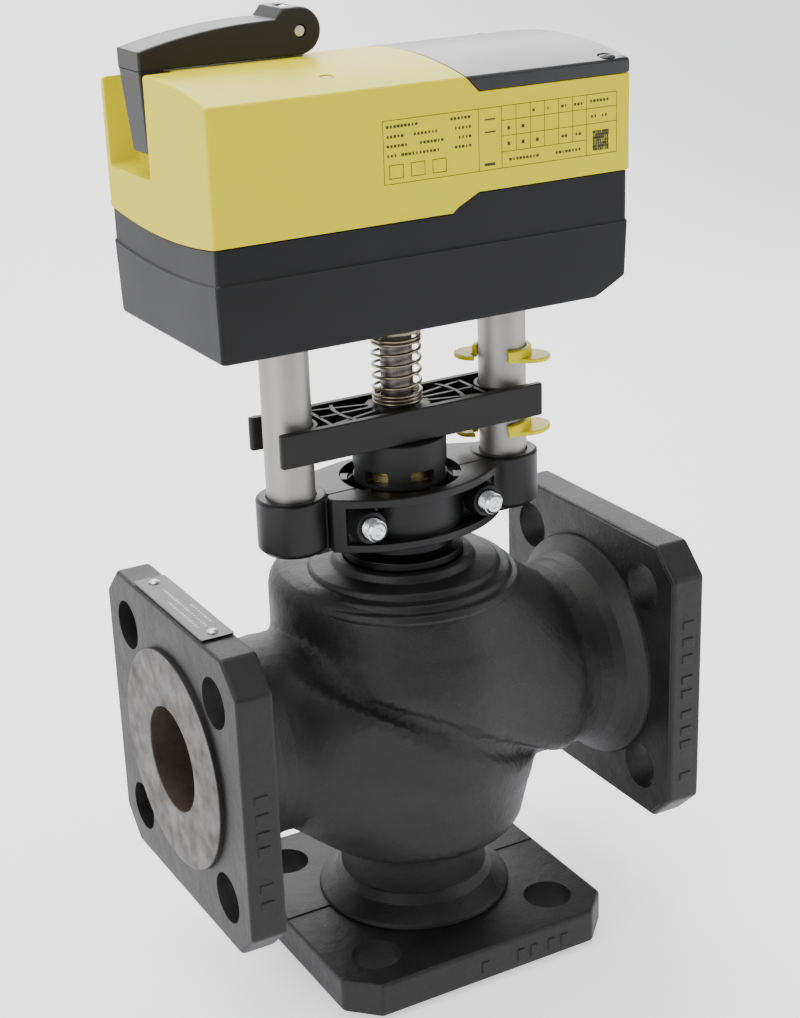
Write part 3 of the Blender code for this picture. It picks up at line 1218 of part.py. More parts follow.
def make_gear_plates():
    """The plate on the pillars and the plate that carries the motor."""
    half_x = LOWER_PLATE_LENGTH / 2
    half_y = LOWER_PLATE_WIDTH / 2
    low = LOWER_PLATE_Z
    high = PLATE_TOP_Z
    lower = box((-half_x, -half_y, low), (half_x, half_y, high))
    cuts = [rod(SPINDLE_RADIUS + 0.0010, low - OVERRUN, high + OVERRUN)]
    axle = (INTERMEDIATE_X, INTERMEDIATE_Y)
    cuts.append(rod(AXLE_RADIUS + GAP, low - OVERRUN, high + OVERRUN, centre=axle))
    for side in (-1, 1):
        cuts.append(rod(PILLAR_SCREW_RADIUS + SCREW_FIT, low - OVERRUN, high + OVERRUN,
                        centre=(side * PILLAR_X, 0.0)))
    board_room = [rod(BOARD_POST_RADIUS + OVERRUN, low - OVERRUN, high + OVERRUN, centre=spot)
                  for spot in board_posts()]
    node(cut(lower, *cuts, *board_room), "gear_plate", "plain_steel")
    low = UPPER_PLATE_Z
    high = UPPER_PLATE_Z + PLATE_THICKNESS
    upper = box((-0.054, -0.036, low), (0.012, 0.029, high))
    posts = [(-0.049, 0.024), (-0.049, -0.022), (0.007, 0.026)]
    upper = join(upper, *[rod(PLATE_POST_RADIUS, PLATE_TOP_Z + GAP, low + OVERRUN, centre=spot)
                          for spot in posts])
    cuts = [rod(SPINDLE_RADIUS + 0.0010, low - OVERRUN, high + OVERRUN)]
    cuts.append(rod(AXLE_RADIUS + GAP, low - OVERRUN, high + OVERRUN, centre=axle))
    cuts.append(rod(0.003, low - OVERRUN, high + OVERRUN, centre=(MOTOR_X, MOTOR_Y)))
    cuts.append(rod(CRANK_SHAFT_RADIUS + RUNNING_FIT, low - OVERRUN, high + OVERRUN,
                    centre=(CRANK_HUB_X, CRANK_Y)))
    node(cut(upper, *cuts), "motor_plate", "plain_steel")


def make_gears():
    """The nut gear on the spindle, the intermediate gear and the motor pinion."""
    towards_nut = INTERMEDIATE_ANGLE
    nut = prism(gear_outline(NUT_TEETH, towards_nut, (0.0, 0.0)), NUT_GEAR_Z, NUT_GEAR_Z + NUT_GEAR_HEIGHT)
    bore = rod(SPINDLE_RADIUS + RUNNING_FIT, NUT_GEAR_Z - OVERRUN, NUT_GEAR_Z + 0.010)
    node(cut(nut, bore), "nut_gear", "brass", (0.0, 0.0, NUT_GEAR_Z))
    thrust_low = PLATE_TOP_Z + GAP
    thrust = tube(THRUST_RADIUS, SPINDLE_RADIUS + OVERRUN, thrust_low, thrust_low + THRUST_HEIGHT)
    node(thrust, "thrust_bearing", "plain_steel")
    centre = (INTERMEDIATE_X, INTERMEDIATE_Y)
    phase = INTERMEDIATE_ANGLE + math.pi + math.pi / SMALL_TEETH
    small = prism(gear_outline(SMALL_TEETH, phase, centre), NUT_GEAR_Z, LARGE_GEAR_Z + 0.0005)
    large = prism(gear_outline(LARGE_TEETH, PINION_ANGLE, centre), LARGE_GEAR_Z,
                  LARGE_GEAR_Z + LARGE_GEAR_HEIGHT)
    gear = join(large, small)
    bore = rod(AXLE_RADIUS + RUNNING_FIT, NUT_GEAR_Z - OVERRUN, LARGE_GEAR_Z + 0.010, centre=centre)
    node(cut(gear, bore), "intermediate_gear", "grey_plastic", (*centre, NUT_GEAR_Z))
    axle = rod(AXLE_RADIUS, LOWER_PLATE_Z + GAP, UPPER_PLATE_Z + PLATE_THICKNESS - GAP, centre=centre)
    node(axle, "gear_axle", "plain_steel")
    spot = (MOTOR_X, MOTOR_Y)
    phase = PINION_ANGLE + math.pi + math.pi / PINION_TEETH
    pinion = prism(gear_outline(PINION_TEETH, phase, spot), LARGE_GEAR_Z, LARGE_GEAR_Z + LARGE_GEAR_HEIGHT)
    bore = rod(MOTOR_SHAFT_RADIUS + GAP, LARGE_GEAR_Z - OVERRUN, LARGE_GEAR_Z + 0.010, centre=spot)
    node(cut(pinion, bore), "motor_pinion", "brass", (*spot, LARGE_GEAR_Z))
    seat = UPPER_PLATE_Z + PLATE_THICKNESS + GAP
    can = rod(MOTOR_RADIUS, seat, seat + MOTOR_HEIGHT, centre=spot, edge=0.001)
    shaft = rod(MOTOR_SHAFT_RADIUS, LARGE_GEAR_Z, seat + OVERRUN, centre=spot)
    node(join(can, shaft), "motor", "plain_steel")


def make_electronics():
    """The circuit board with its terminal block and coding switch."""
    low = BOARD_Z
    board = box((BOARD_LEFT_X, -BOARD_HALF_WIDTH, low),
                (BOARD_RIGHT_X, BOARD_HALF_WIDTH, low + BOARD_THICKNESS))
    node(board, "circuit_board", "green_board")
    seat = low + BOARD_THICKNESS + GAP
    right = BOARD_RIGHT_X - 0.004
    half = BOARD_HALF_WIDTH - 0.005
    block = box((right - TERMINAL_DEPTH, -half, seat), (right, half, seat + TERMINAL_HEIGHT))
    step = 0.008
    count = int(2 * half / step)
    holes = []
    for index in range(count):
        y = (index - (count - 1) / 2) * step
        x = right - TERMINAL_DEPTH / 2
        holes.append(rod(0.0021, seat + TERMINAL_HEIGHT - 0.003, seat + TERMINAL_HEIGHT + OVERRUN,
                         centre=(x, y)))
    node(cut(block, *holes), "terminal_block", "grey_plastic")
    left = BOARD_LEFT_X + 0.005
    switch = box((left, -SWITCH_SIZE, seat), (left + SWITCH_SIZE, SWITCH_SIZE, seat + 0.0045))
    slides = []
    for index in range(4):
        y = (index - 1.5) * 0.003
        slides.append(box((left + 0.0015, y - 0.0008, seat + 0.0035),
                          (left + SWITCH_SIZE - 0.0015, y + 0.0008, seat + 0.006)))
    node(cut(switch, *slides), "coding_switch", "black_plastic")


def make_rating_plate():
    """A blank rating plate riveted to the top edge of the left flange."""
    low = PIPE_AXIS_Z + FLANGE_HALF + GAP
    high = low + PLATE_SHEET
    middle = -(FLANGE_FRONT_X - RAISED_FACE_HEIGHT + FLANGE_BACK_X) / 2
    half = PLATE_WIDTH / 2
    length = PLATE_LENGTH / 2
    plate = box((middle - half, -length, low), (middle + half, length, high))
    reach = length - 0.005
    holes = [rod(0.0012, low - OVERRUN, high + OVERRUN, centre=(middle, side * reach))
             for side in (-1, 1)]
    node(cut(plate, *holes), "rating_plate", "plate_black")
    for side, word in ((-1, "front"), (1, "back")):
        seat = high + GAP
        profile = [(0.0, low), (0.0009, low), (0.0009, seat), (RIVET_RADIUS, seat)]
        profile += [(RIVET_RADIUS * 0.8, seat + RIVET_HEIGHT * 0.7), (0.0, seat + RIVET_HEIGHT)]
        node(turned(profile, "Z", (middle, side * reach)), "plate_rivet_" + word, "zinc_steel")


def main():
    """Build every piece in order from the pipe up."""
    clear_scene()
    make_valve_body()
    make_seat_rings()
    make_plug_and_stem()
    make_bonnet_group()
    make_rating_plate()
    make_clamp_bar()
    make_console()
    make_clamp_screws()
    make_pillars()
    make_pillar_screws()
    make_coupling()
    make_crosspiece()
    make_spindle()
    make_spring()
    make_indicator("upper_indicator", UPPER_INDICATOR_Z)
    make_indicator("lower_indicator", LOWER_INDICATOR_Z)
    make_base_housing()
    make_top_housing()
    make_terminal_cover()
    make_housing_screws()
    make_entry_plugs()
    make_crank()
    make_gear_plates()
    make_gears()
    make_electronics()


main()
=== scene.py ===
"""Looks of a motorised three-way valve: a flanged casting with an electric actuator on two pillars.

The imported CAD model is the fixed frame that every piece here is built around. Lengths are in
millimetres, in the frame's own axes, and a finished piece is scaled to the frame's metres.
"""

import logging
import math
from dataclasses import dataclass
from enum import Enum
from typing import Callable, Iterable, Sequence

import bmesh
import bpy
import numpy as np
from mathutils import Matrix, Vector


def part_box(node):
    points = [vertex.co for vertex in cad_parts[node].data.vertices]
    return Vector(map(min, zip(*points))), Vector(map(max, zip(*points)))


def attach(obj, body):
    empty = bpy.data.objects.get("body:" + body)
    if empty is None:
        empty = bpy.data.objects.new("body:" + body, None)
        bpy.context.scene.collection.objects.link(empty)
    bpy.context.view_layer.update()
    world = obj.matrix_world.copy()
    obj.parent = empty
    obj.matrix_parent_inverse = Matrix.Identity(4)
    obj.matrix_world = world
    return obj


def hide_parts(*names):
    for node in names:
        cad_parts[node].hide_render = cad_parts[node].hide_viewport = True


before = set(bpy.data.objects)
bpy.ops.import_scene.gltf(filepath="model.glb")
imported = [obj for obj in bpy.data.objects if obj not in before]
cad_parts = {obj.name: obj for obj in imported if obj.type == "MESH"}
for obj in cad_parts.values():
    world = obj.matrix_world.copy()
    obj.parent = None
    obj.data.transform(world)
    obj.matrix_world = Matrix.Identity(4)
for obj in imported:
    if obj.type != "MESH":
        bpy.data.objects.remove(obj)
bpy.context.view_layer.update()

LOG = logging.getLogger("valve_looks")
MM = 0.001
OVERRUN = 1.0
# How much larger an outline's corner radius is than its edge radius: if equal, the edge crosses itself.
EASE = 1.4
# Past the head's sides and above its roof, for the tools that cut it.
BEYOND = 100.0
SKY = 400.0
PILLAR_X = 45.5
PILLAR_RADIUS = 9.0

Point2 = tuple[float, float]
Point3 = tuple[float, float, float]
Colour = tuple[float, float, float]


class Axis(Enum):
    """The direction that a profile or outline runs along."""

    X = "X"
    Y = "Y"
    Z = "Z"


class Body(Enum):
    """The frame's moving bodies."""

    FRAME = "frame"
    LIFT = "lift"
    UPPER_CLIP = "upper_clip"
    LOWER_CLIP = "lower_clip"
    CRANK = "crank"


# Node graphs


def operator(operation: str, flipped: bool = False) -> Callable[..., "Socket"]:
    """Make a method that adds one Math node.

    Args:
        operation: The node's operation.
        flipped: Whether the other value comes first, as in 1 - mask.

    Returns:
        The method.
    """

    def apply(self: "Socket", *others: "Socket | float") -> "Socket":
        """Add the Math node for this value and the others."""
        values = (*others, self) if flipped else (self, *others)
        return self.graph.add("ShaderNodeMath", {"operation": operation}, dict(enumerate(values)))

    return apply


class Socket:
    """An output socket that takes part in ordinary arithmetic by adding Math nodes."""

    __add__ = operator("ADD")
    __radd__ = operator("ADD", flipped=True)
    __sub__ = operator("SUBTRACT")
    __rsub__ = operator("SUBTRACT", flipped=True)
    __mul__ = operator("MULTIPLY")
    __rmul__ = operator("MULTIPLY", flipped=True)
    __pow__ = operator("POWER")
    __abs__ = operator("ABSOLUTE")
    below = operator("LESS_THAN")
    sine = operator("SINE")

    def __init__(self, graph: "Graph", socket: bpy.types.NodeSocket) -> None:
        """Keep the graph that owns the socket."""
        self.graph = graph
        self.socket = socket


class Graph:
    """A node tree that is written as calls and expressions."""

    def __init__(self, tree: bpy.types.NodeTree) -> None:
        """Wrap a tree."""
        self.tree = tree

    def add(
        self, kind: str, settings: dict[str, object] | None = None,
        inputs: dict[str | int, object] | None = None, output: str | int = 0
    ) -> Socket:
        """Add a node, set it up, and link or fill its inputs.

        Args:
            kind: The node's type.
            settings: Its properties; "stops" holds a ramp's (place, colour) pairs.
            inputs: Values or links by the input's identifier, name or number.
            output: The output wanted, by identifier, name or number.

        Returns:
            The wanted output.
        """
        node = self.tree.nodes.new(kind)
        for name, value in (settings or {}).items():
            if name == "stops":
                self._set_stops(node.color_ramp, value)
            else:
                setattr(node, name, value)
        for key, value in (inputs or {}).items():
            socket = self._find(node.inputs, key)
            if isinstance(value, Socket):
                self.tree.links.new(value.socket, socket)
            else:
                socket.default_value = value
        return Socket(self, self._find(node.outputs, output))

    @staticmethod
    def _find(sockets: Iterable[bpy.types.NodeSocket], key: str | int) -> bpy.types.NodeSocket:
        """The socket with this number, identifier or name.

        Args:
            sockets: A node's inputs or outputs.
            key: The number, identifier or name.

        Returns:
            The socket.
        """
        if isinstance(key, int):
            return sockets[key]
        for socket in sockets:
            if socket.identifier == key:
                return socket
        return sockets[key]

    @staticmethod
    def _set_stops(ramp: bpy.types.ColorRamp, stops: Sequence[tuple[float, Colour]]) -> None:
        """Fill a colour ramp.

        Args:
            ramp: The ramp.
            stops: Places from 0 to 1 with their colours.
        """
        while len(ramp.elements) < len(stops):
            ramp.elements.new(0.5)
        for element, (place, colour) in zip(ramp.elements, stops):
            element.position = place
            element.color = (*colour, 1.0)


class Paint(Graph):
    """A surface material around one Principled shader."""

    def __init__(self, name: str) -> None:
        """Make the material.

        Args:
            name: The material's name.
        """
        self.material = bpy.data.materials.new(name)
        self.material.use_nodes = True
        super().__init__(self.material.node_tree)
        self.shader = self.tree.nodes["Principled BSDF"]
        self.place = self.add("ShaderNodeTexCoord", output="Object")

    def fix(self, **values: float | tuple) -> None:
        """Set constants on the shader; underscores stand for spaces.

        Args:
            values: Socket names with their values.
        """
        for name, value in values.items():
            socket = self.shader.inputs[name.replace("_", " ")]
            socket.default_value = (*value, 1.0) if isinstance(value, tuple) else value

    def drive(self, name: str, value: Socket) -> None:
        """Link a value to one of the shader's inputs."""
        self.tree.links.new(value.socket, self.shader.inputs[name])

    def stretched(self, scale: Point3) -> Socket:
        """Object coordinates, scaled along each axis."""
        return self.add("ShaderNodeMapping", inputs={"Vector": self.place, "Scale": scale})

    def noise(
        self, size: float, detail: float = 3.0, rough: float = 0.5, place: Socket | None = None
    ) -> Socket:
        """Fractal noise with features of about one size.

        Args:
            size: The features' size in millimetres.
            detail: How many finer layers are added.
            rough: How strong the finer layers are.
            place: Where it is read, or the object's coordinates.

        Returns:
            The noise, around 0.5.
        """
        inputs = {
            "Vector": place or self.place,
            "Scale": 1.0 / (size * MM),
            "Detail": detail,
            "Roughness": rough,
        }
        return self.add("ShaderNodeTexNoise", inputs=inputs)

    def ramp(self, value: Socket, stops: Sequence[tuple[float, float]]) -> Socket:
        """Turn a number into another through a ramp."""
        grey = [(place, (level, level, level)) for place, level in stops]
        return self.add("ShaderNodeValToRGB", {"stops": grey}, {"Fac": value})

    def blend(self, share: Socket | float, low: Socket | Colour, high: Socket | Colour) -> Socket:
        """Mix two colours.

        Args:
            share: How much of the second colour shows.
            low: The first colour.
            high: The second colour.

        Returns:
            The mixed colour.
        """
        ends = [end if isinstance(end, Socket) else (*end, 1.0) for end in (low, high)]
        settings = {"data_type": "RGBA", "clamp_factor": True}
        inputs = {"Factor_Float": share, "A_Color": ends[0], "B_Color": ends[1]}
        return self.add("ShaderNodeMix", settings, inputs, "Result_Color")

    def relief(self, height: Socket, depth: float, under: Socket | None = None) -> Socket:
        """A Bump node.

        Args:
            height: The height, from 0 to 1.
            depth: What a height of 1 is, in millimetres.
            under: A coarser relief that this one lies on.

        Returns:
            The bent normal.
        """
        inputs: dict[str | int, object] = {"Height": height, "Distance": depth * MM}
        if under:
            inputs["Normal"] = under
        return self.add("ShaderNodeBump", inputs=inputs)


# Finishes


@dataclass(frozen=True)
class Finish:
    """What every finish has: a name, the record's slot, and a way to become a material."""

    name: str
    slot: str

    def material(self) -> bpy.types.Material:
        """The finish's material, made on first use."""
        found = bpy.data.materials.get(self.name)
        return found or self.build().material

    def build(self) -> Paint:
        """Build the material."""
        raise NotImplementedError


@dataclass(frozen=True)
class CastSkin(Finish):
    """Black coated sand casting: a pitted, orange-peel skin with a few pale scuffs."""

    colour: Colour = (0.0062, 0.0058, 0.0060)
    dust: Colour = (0.0150, 0.0145, 0.0150)
    pit: float = 0.16
    parting_line: float = 0.25

    def build(self) -> Paint:
        """Build the skin.

        Returns:
            The paint.
        """
        paint = Paint(self.name)
        broad = paint.noise(22.0, 4.0, 0.55)
        fine = paint.noise(1.1, 2.0, 0.6)
        pits = paint.noise(0.55, 1.0, 0.5)
        clouds = paint.ramp(broad, [(0.38, 0.0), (0.72, 1.0)])
        colour = paint.blend(clouds * 0.55, self.colour, self.dust)
        specks = paint.ramp(paint.noise(2.2, 5.0, 0.7), [(0.73, 0.0), (0.78, 1.0)])
        colour = paint.blend(specks * 0.35, colour, (0.12, 0.115, 0.10))
        paint.drive("Base Color", colour)
        paint.drive("Roughness", 0.40 + fine * 0.16 + clouds * 0.07)
        along = paint.add("ShaderNodeSeparateXYZ", inputs={0: paint.place}, output="Y")
        seam = abs(along).below(0.45 * MM)
        skin = paint.relief(fine * 0.6 + pits * 0.4, self.pit)
        lumps = paint.relief(paint.noise(7.0, 2.0), 0.35, skin)
        paint.drive("Normal", paint.relief(seam, self.parting_line, lumps))
        paint.fix(Specular_IOR_Level=0.32)
        return paint


@dataclass(frozen=True)
class TurnedFace(Finish):
    """A machined face with fine concentric tool marks about one axis, lightly oiled or rusted."""

    colour: Colour = (0.075, 0.070, 0.066)
    stain: Colour = (0.030, 0.022, 0.018)
    metallic: float = 0.55
    roughness: float = 0.42
    axis: Axis = Axis.X
    centre_z: float = 100.0

    def build(self) -> Paint:
        """Build the face.

        Returns:
            The paint.
        """
        paint = Paint(self.name)
        parts = [
            paint.add("ShaderNodeSeparateXYZ", inputs={0: paint.place}, output=letter) for letter in "XYZ"
        ]
        if self.axis is Axis.X:
            first, second = parts[1], parts[2] - self.centre_z * MM
        else:
            first, second = parts[0], parts[1]
        radius = (first * first + second * second) ** 0.5
        rings = (radius * (math.tau / (0.45 * MM))).sine() * 0.5 + 0.5
        cloud = paint.ramp(paint.noise(9.0, 4.0, 0.6), [(0.35, 0.0), (0.7, 1.0)])
        paint.drive("Base Color", paint.blend(cloud, self.colour, self.stain))
        paint.drive("Roughness", self.roughness + cloud * 0.2 - rings * 0.04)
        paint.drive("Normal", paint.relief(rings * 0.7 + paint.noise(0.6) * 0.3, 0.03))
        paint.fix(Metallic=self.metallic)
        return paint


@dataclass(frozen=True)
class Metal(Finish):
    """Bare or plated metal with drawing marks along one axis."""

    colour: Colour = (0.60, 0.60, 0.59)
    shade: Colour = (0.45, 0.45, 0.44)
    roughness: float = 0.30
    grain: Point3 = (1.0, 1.0, 0.05)
    grain_depth: float = 0.02

    def build(self) -> Paint:
        """Build the metal.

        Returns:
            The paint.
        """
        paint = Paint(self.name)
        lines = paint.noise(0.35, 3.0, 0.6, paint.stretched(self.grain))
        cloud = paint.noise(6.0, 3.0, 0.55)
        paint.drive("Base Color", paint.blend(cloud * 0.6 + lines * 0.4, self.shade, self.colour))
        paint.drive("Roughness", self.roughness + lines * 0.12 + cloud * 0.08 - 0.09)
        paint.drive("Normal", paint.relief(lines, self.grain_depth))
        paint.fix(Metallic=1.0)
        return paint


@dataclass(frozen=True)
class Moulded(Finish):
    """Injection-moulded plastic with a fine spark-eroded grain."""

    colour: Colour = (0.020, 0.021, 0.023)
    bloom: Colour = (0.030, 0.031, 0.034)
    roughness: float = 0.42
    grain: float = 0.35
    grain_depth: float = 0.018
    wave_depth: float = 0.05
    shine: float = 0.30

    def build(self) -> Paint:
        """Build the plastic.

        Returns:
            The paint.
        """
        paint = Paint(self.name)
        cloud = paint.ramp(paint.noise(30.0, 3.0, 0.5), [(0.3, 0.0), (0.75, 1.0)])
        grain = paint.noise(self.grain, 2.0, 0.55)
        paint.drive("Base Color", paint.blend(cloud, self.colour, self.bloom))
        paint.drive("Roughness", self.roughness + grain * 0.10 + cloud * 0.05 - 0.06)
        wave = paint.relief(paint.noise(14.0, 1.0), self.wave_depth)
        paint.drive("Normal", paint.relief(grain, self.grain_depth, wave))
        paint.fix(Specular_IOR_Level=self.shine)
        return paint


@dataclass(frozen=True)
class Board(Finish):
    """A circuit board: solder mask with faint copper tracks under it."""

    mask: Colour = (0.015, 0.13, 0.05)
    track: Colour = (0.03, 0.22, 0.09)

    def build(self) -> Paint:
        """Build the board.

        Returns:
            The paint.
        """
        paint = Paint(self.name)
        inputs = {"Vector": paint.place, "Scale": 150.0, "Distortion": 6.0}
        wave = paint.add("ShaderNodeTexWave", inputs=inputs)
        lines = paint.ramp(wave, [(0.55, 0.0), (0.6, 1.0)])
        paint.drive("Base Color", paint.blend(lines, self.mask, self.track))
        paint.drive("Roughness", 0.3 + paint.noise(3.0) * 0.15)
        paint.drive("Normal", paint.relief(lines, 0.03))
        return paint


CASTING = CastSkin("cast_black_skin", "casting")
FACE_LEFT = TurnedFace("turned_flange_face", "casting")
FACE_BOTTOM = TurnedFace("turned_bottom_face", "casting", axis=Axis.Z)
BORE = TurnedFace(
    "brown_bore", "casting", (0.050, 0.032, 0.022), (0.020, 0.012, 0.009), metallic=0.2, roughness=0.55
)
BONNET = Metal(
    "black_turned_steel", "bonnet_finish", (0.030, 0.030, 0.031), (0.020, 0.020, 0.021), 0.36, (1, 1, 12)
)
TURNED_STEEL = Metal("turned_steel", "machined_steel", (0.42, 0.41, 0.38), (0.30, 0.29, 0.27), 0.36)
GROUND_STEEL = Metal("ground_steel", "stem_steel", (0.20, 0.19, 0.165), (0.13, 0.12, 0.10), 0.42)
BRASS = Metal("turned_brass", "brass_parts", (0.60, 0.48, 0.23), (0.42, 0.33, 0.15), 0.34)
BRIGHT_STEEL = Metal("bright_steel", "bright_steel", (0.66, 0.66, 0.66), (0.50, 0.50, 0.50), 0.26)
ZINC = Metal("zinc_plate", "zinc_screws", (0.72, 0.73, 0.74), (0.55, 0.56, 0.57), 0.24, (1.0, 1.0, 1.0))
PILLAR = Metal(
    "satin_bar", "pillar_satin", (0.40, 0.388, 0.365), (0.30, 0.291, 0.272), 0.50, (1.0, 1.0, 0.02), 0.012
)
SPRING_WIRE = Metal(
    "olive_spring_wire", "spring_steel", (0.30, 0.27, 0.20), (0.17, 0.15, 0.10), 0.30, (1, 1, 1)
)
BRACKET = Moulded(
    "black_bracket", "bracket_black", (0.0050, 0.0050, 0.0053), (0.0070, 0.0070, 0.0075), 0.40
)
COUPLING = Moulded(
    "black_coupling", "coupling_black", (0.0060, 0.0060, 0.0060), (0.0085, 0.0085, 0.0085), 0.52
)
CLIP = Moulded("yellow_clip", "indicator_yellow", (0.66, 0.55, 0.0), (0.69, 0.58, 0.0), 0.36, shine=0.2)
BASE = Moulded(
    "black_housing", "base_black", (0.0040, 0.0041, 0.0045), (0.0055, 0.0057, 0.0063), 0.46, shine=0.24
)
COVER = Moulded(
    "dark_cover", "cover_black", (0.0085, 0.0087, 0.0095), (0.012, 0.0124, 0.0132), 0.33, shine=0.5
)
COVER_SCREW = Moulded("dark_screw", "cover_screws", (0.012, 0.012, 0.013), (0.018, 0.018, 0.019), 0.34)
YELLOW = Moulded("yellow_housing", "housing_yellow", (0.62, 0.53, 0.0), (0.65, 0.56, 0.0), 0.42, shine=0.15)
CRANK = Moulded("black_crank", "crank_black", (0.0105, 0.0100, 0.0095), (0.0145, 0.0140, 0.0130), 0.42)
PRINT = Moulded("label_ink", "cover_black", (0.030, 0.026, 0.008), (0.040, 0.034, 0.010), 0.5)
PRINT_WHITE = Moulded("plate_ink", "bright_steel", (0.42, 0.42, 0.42), (0.5, 0.5, 0.5), 0.5)
PLATE = Metal(
    "anodised_plate", "plate_black", (0.035, 0.035, 0.037), (0.022, 0.022, 0.023), 0.30, (1.0, 0.05, 1.0)
)
RUBBER = Moulded("seal_rubber", "seal_rubber", (0.018, 0.018, 0.018), (0.024, 0.024, 0.024), 0.75)
AMBER = Moulded("amber_light_pipe", "light_pipe", (0.55, 0.42, 0.10), (0.60, 0.47, 0.12), 0.22)
GEAR_GREY = Moulded("grey_gear", "gear_grey", (0.25, 0.26, 0.27), (0.30, 0.31, 0.32), 0.45)
BOARD = Board("green_board", "board_green")


# Places and outlines


def extent(node: str) -> list[Vector]:
    """A CAD node's lowest and highest corners, in millimetres."""
    return [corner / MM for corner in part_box(node)]


def heights(node: str) -> list[float]:
    """A CAD node's lowest and highest places along Z, in millimetres."""
    return [corner.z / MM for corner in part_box(node)]


def arc(centre: Point2, radius: float, start: float, end: float, steps: int) -> list[Point2]:
    """Points along a circle.

    Args:
        centre: The circle's centre.
        radius: Its radius.
        start: The first angle in degrees.
        end: The last angle in degrees.
        steps: How many steps between them.

    Returns:
        The points, both ends included.
    """
    points = []
    for step in range(steps + 1):
        angle = math.radians(start + (end - start) * step / steps)
        points.append((centre[0] + radius * math.cos(angle), centre[1] + radius * math.sin(angle)))
    return points


def rectangle(low: Point2, high: Point2) -> list[Point2]:
    """The corners of a rectangle, anticlockwise."""
    return [low, (high[0], low[1]), high, (low[0], high[1])]


def filleted(points: Sequence[Point2], radius: float | Sequence[float], steps: int = 4) -> list[Point2]:
    """Round an outline's corners.

    Args:
        points: The outline.
        radius: One radius, or one for each corner.
        steps: How many steps each corner takes.

    Returns:
        The rounded outline.
    """
    count = len(points)
    radii = [radius] * count if isinstance(radius, (int, float)) else list(radius)
    rounded: list[Point2] = []
    for index, (spot, reach) in enumerate(zip(points, radii)):
        here = Vector(spot)
        back = Vector(points[index - 1]) - here
        ahead = Vector(points[(index + 1) % count]) - here
        turn = back.angle(ahead, math.pi)
        if reach <= 0 or turn > math.radians(176):
            rounded.append(spot)
            continue
        length = min(reach / math.tan(turn / 2), back.length * 0.49, ahead.length * 0.49)
        start = here + back.normalized() * length
        end = here + ahead.normalized() * length
        centre = here + (back.normalized() + ahead.normalized()).normalized() * length / math.cos(turn / 2)
        begin, finish = start - centre, end - centre
        for step in range(steps + 1):
            rounded.append(
                tuple(centre + begin.slerp(finish, step / steps, finish).normalized() * begin.length)
            )
    return rounded


def shrunk(points: Sequence[Point2], distance: float) -> list[Point2]:
    """Move an outline's sides inwards by a distance.

    Args:
        points: The outline.
        distance: How far each side moves.

    Returns:
        The smaller outline, with as many points.
    """
    count = len(points)
    area = sum(a[0] * b[1] - b[0] * a[1] for a, b in zip(points, [*points[1:], points[0]]))
    sign = 1.0 if area > 0 else -1.0
    moved = []
    for index in range(count):
        here = Vector(points[index])
        before = (here - Vector(points[index - 1])).normalized()
        after = (Vector(points[(index + 1) % count]) - here).normalized()
        normals = [Vector((-side.y, side.x)) * sign for side in (before, after)]
        middle = normals[0] + normals[1]
        scale = 2.0 / max(middle.length_squared, 1.0)
        moved.append(tuple(here + middle * scale * distance))
    return moved


def placed(first: float, second: float, height: float, axis: Axis) -> Point3:
    """A point from two coordinates in a plane and a height along its axis.

    Args:
        first: The first coordinate in the plane.
        second: The second one.
        height: The place along the axis.
        axis: The axis.

    Returns:
        The point: a plane across X holds (y, z), one across Y holds (x, z), one across Z (x, y).
    """
    if axis is Axis.X:
        return (height, first, second)
    if axis is Axis.Y:
        return (first, height, second)
    return (first, second, height)


# Solids


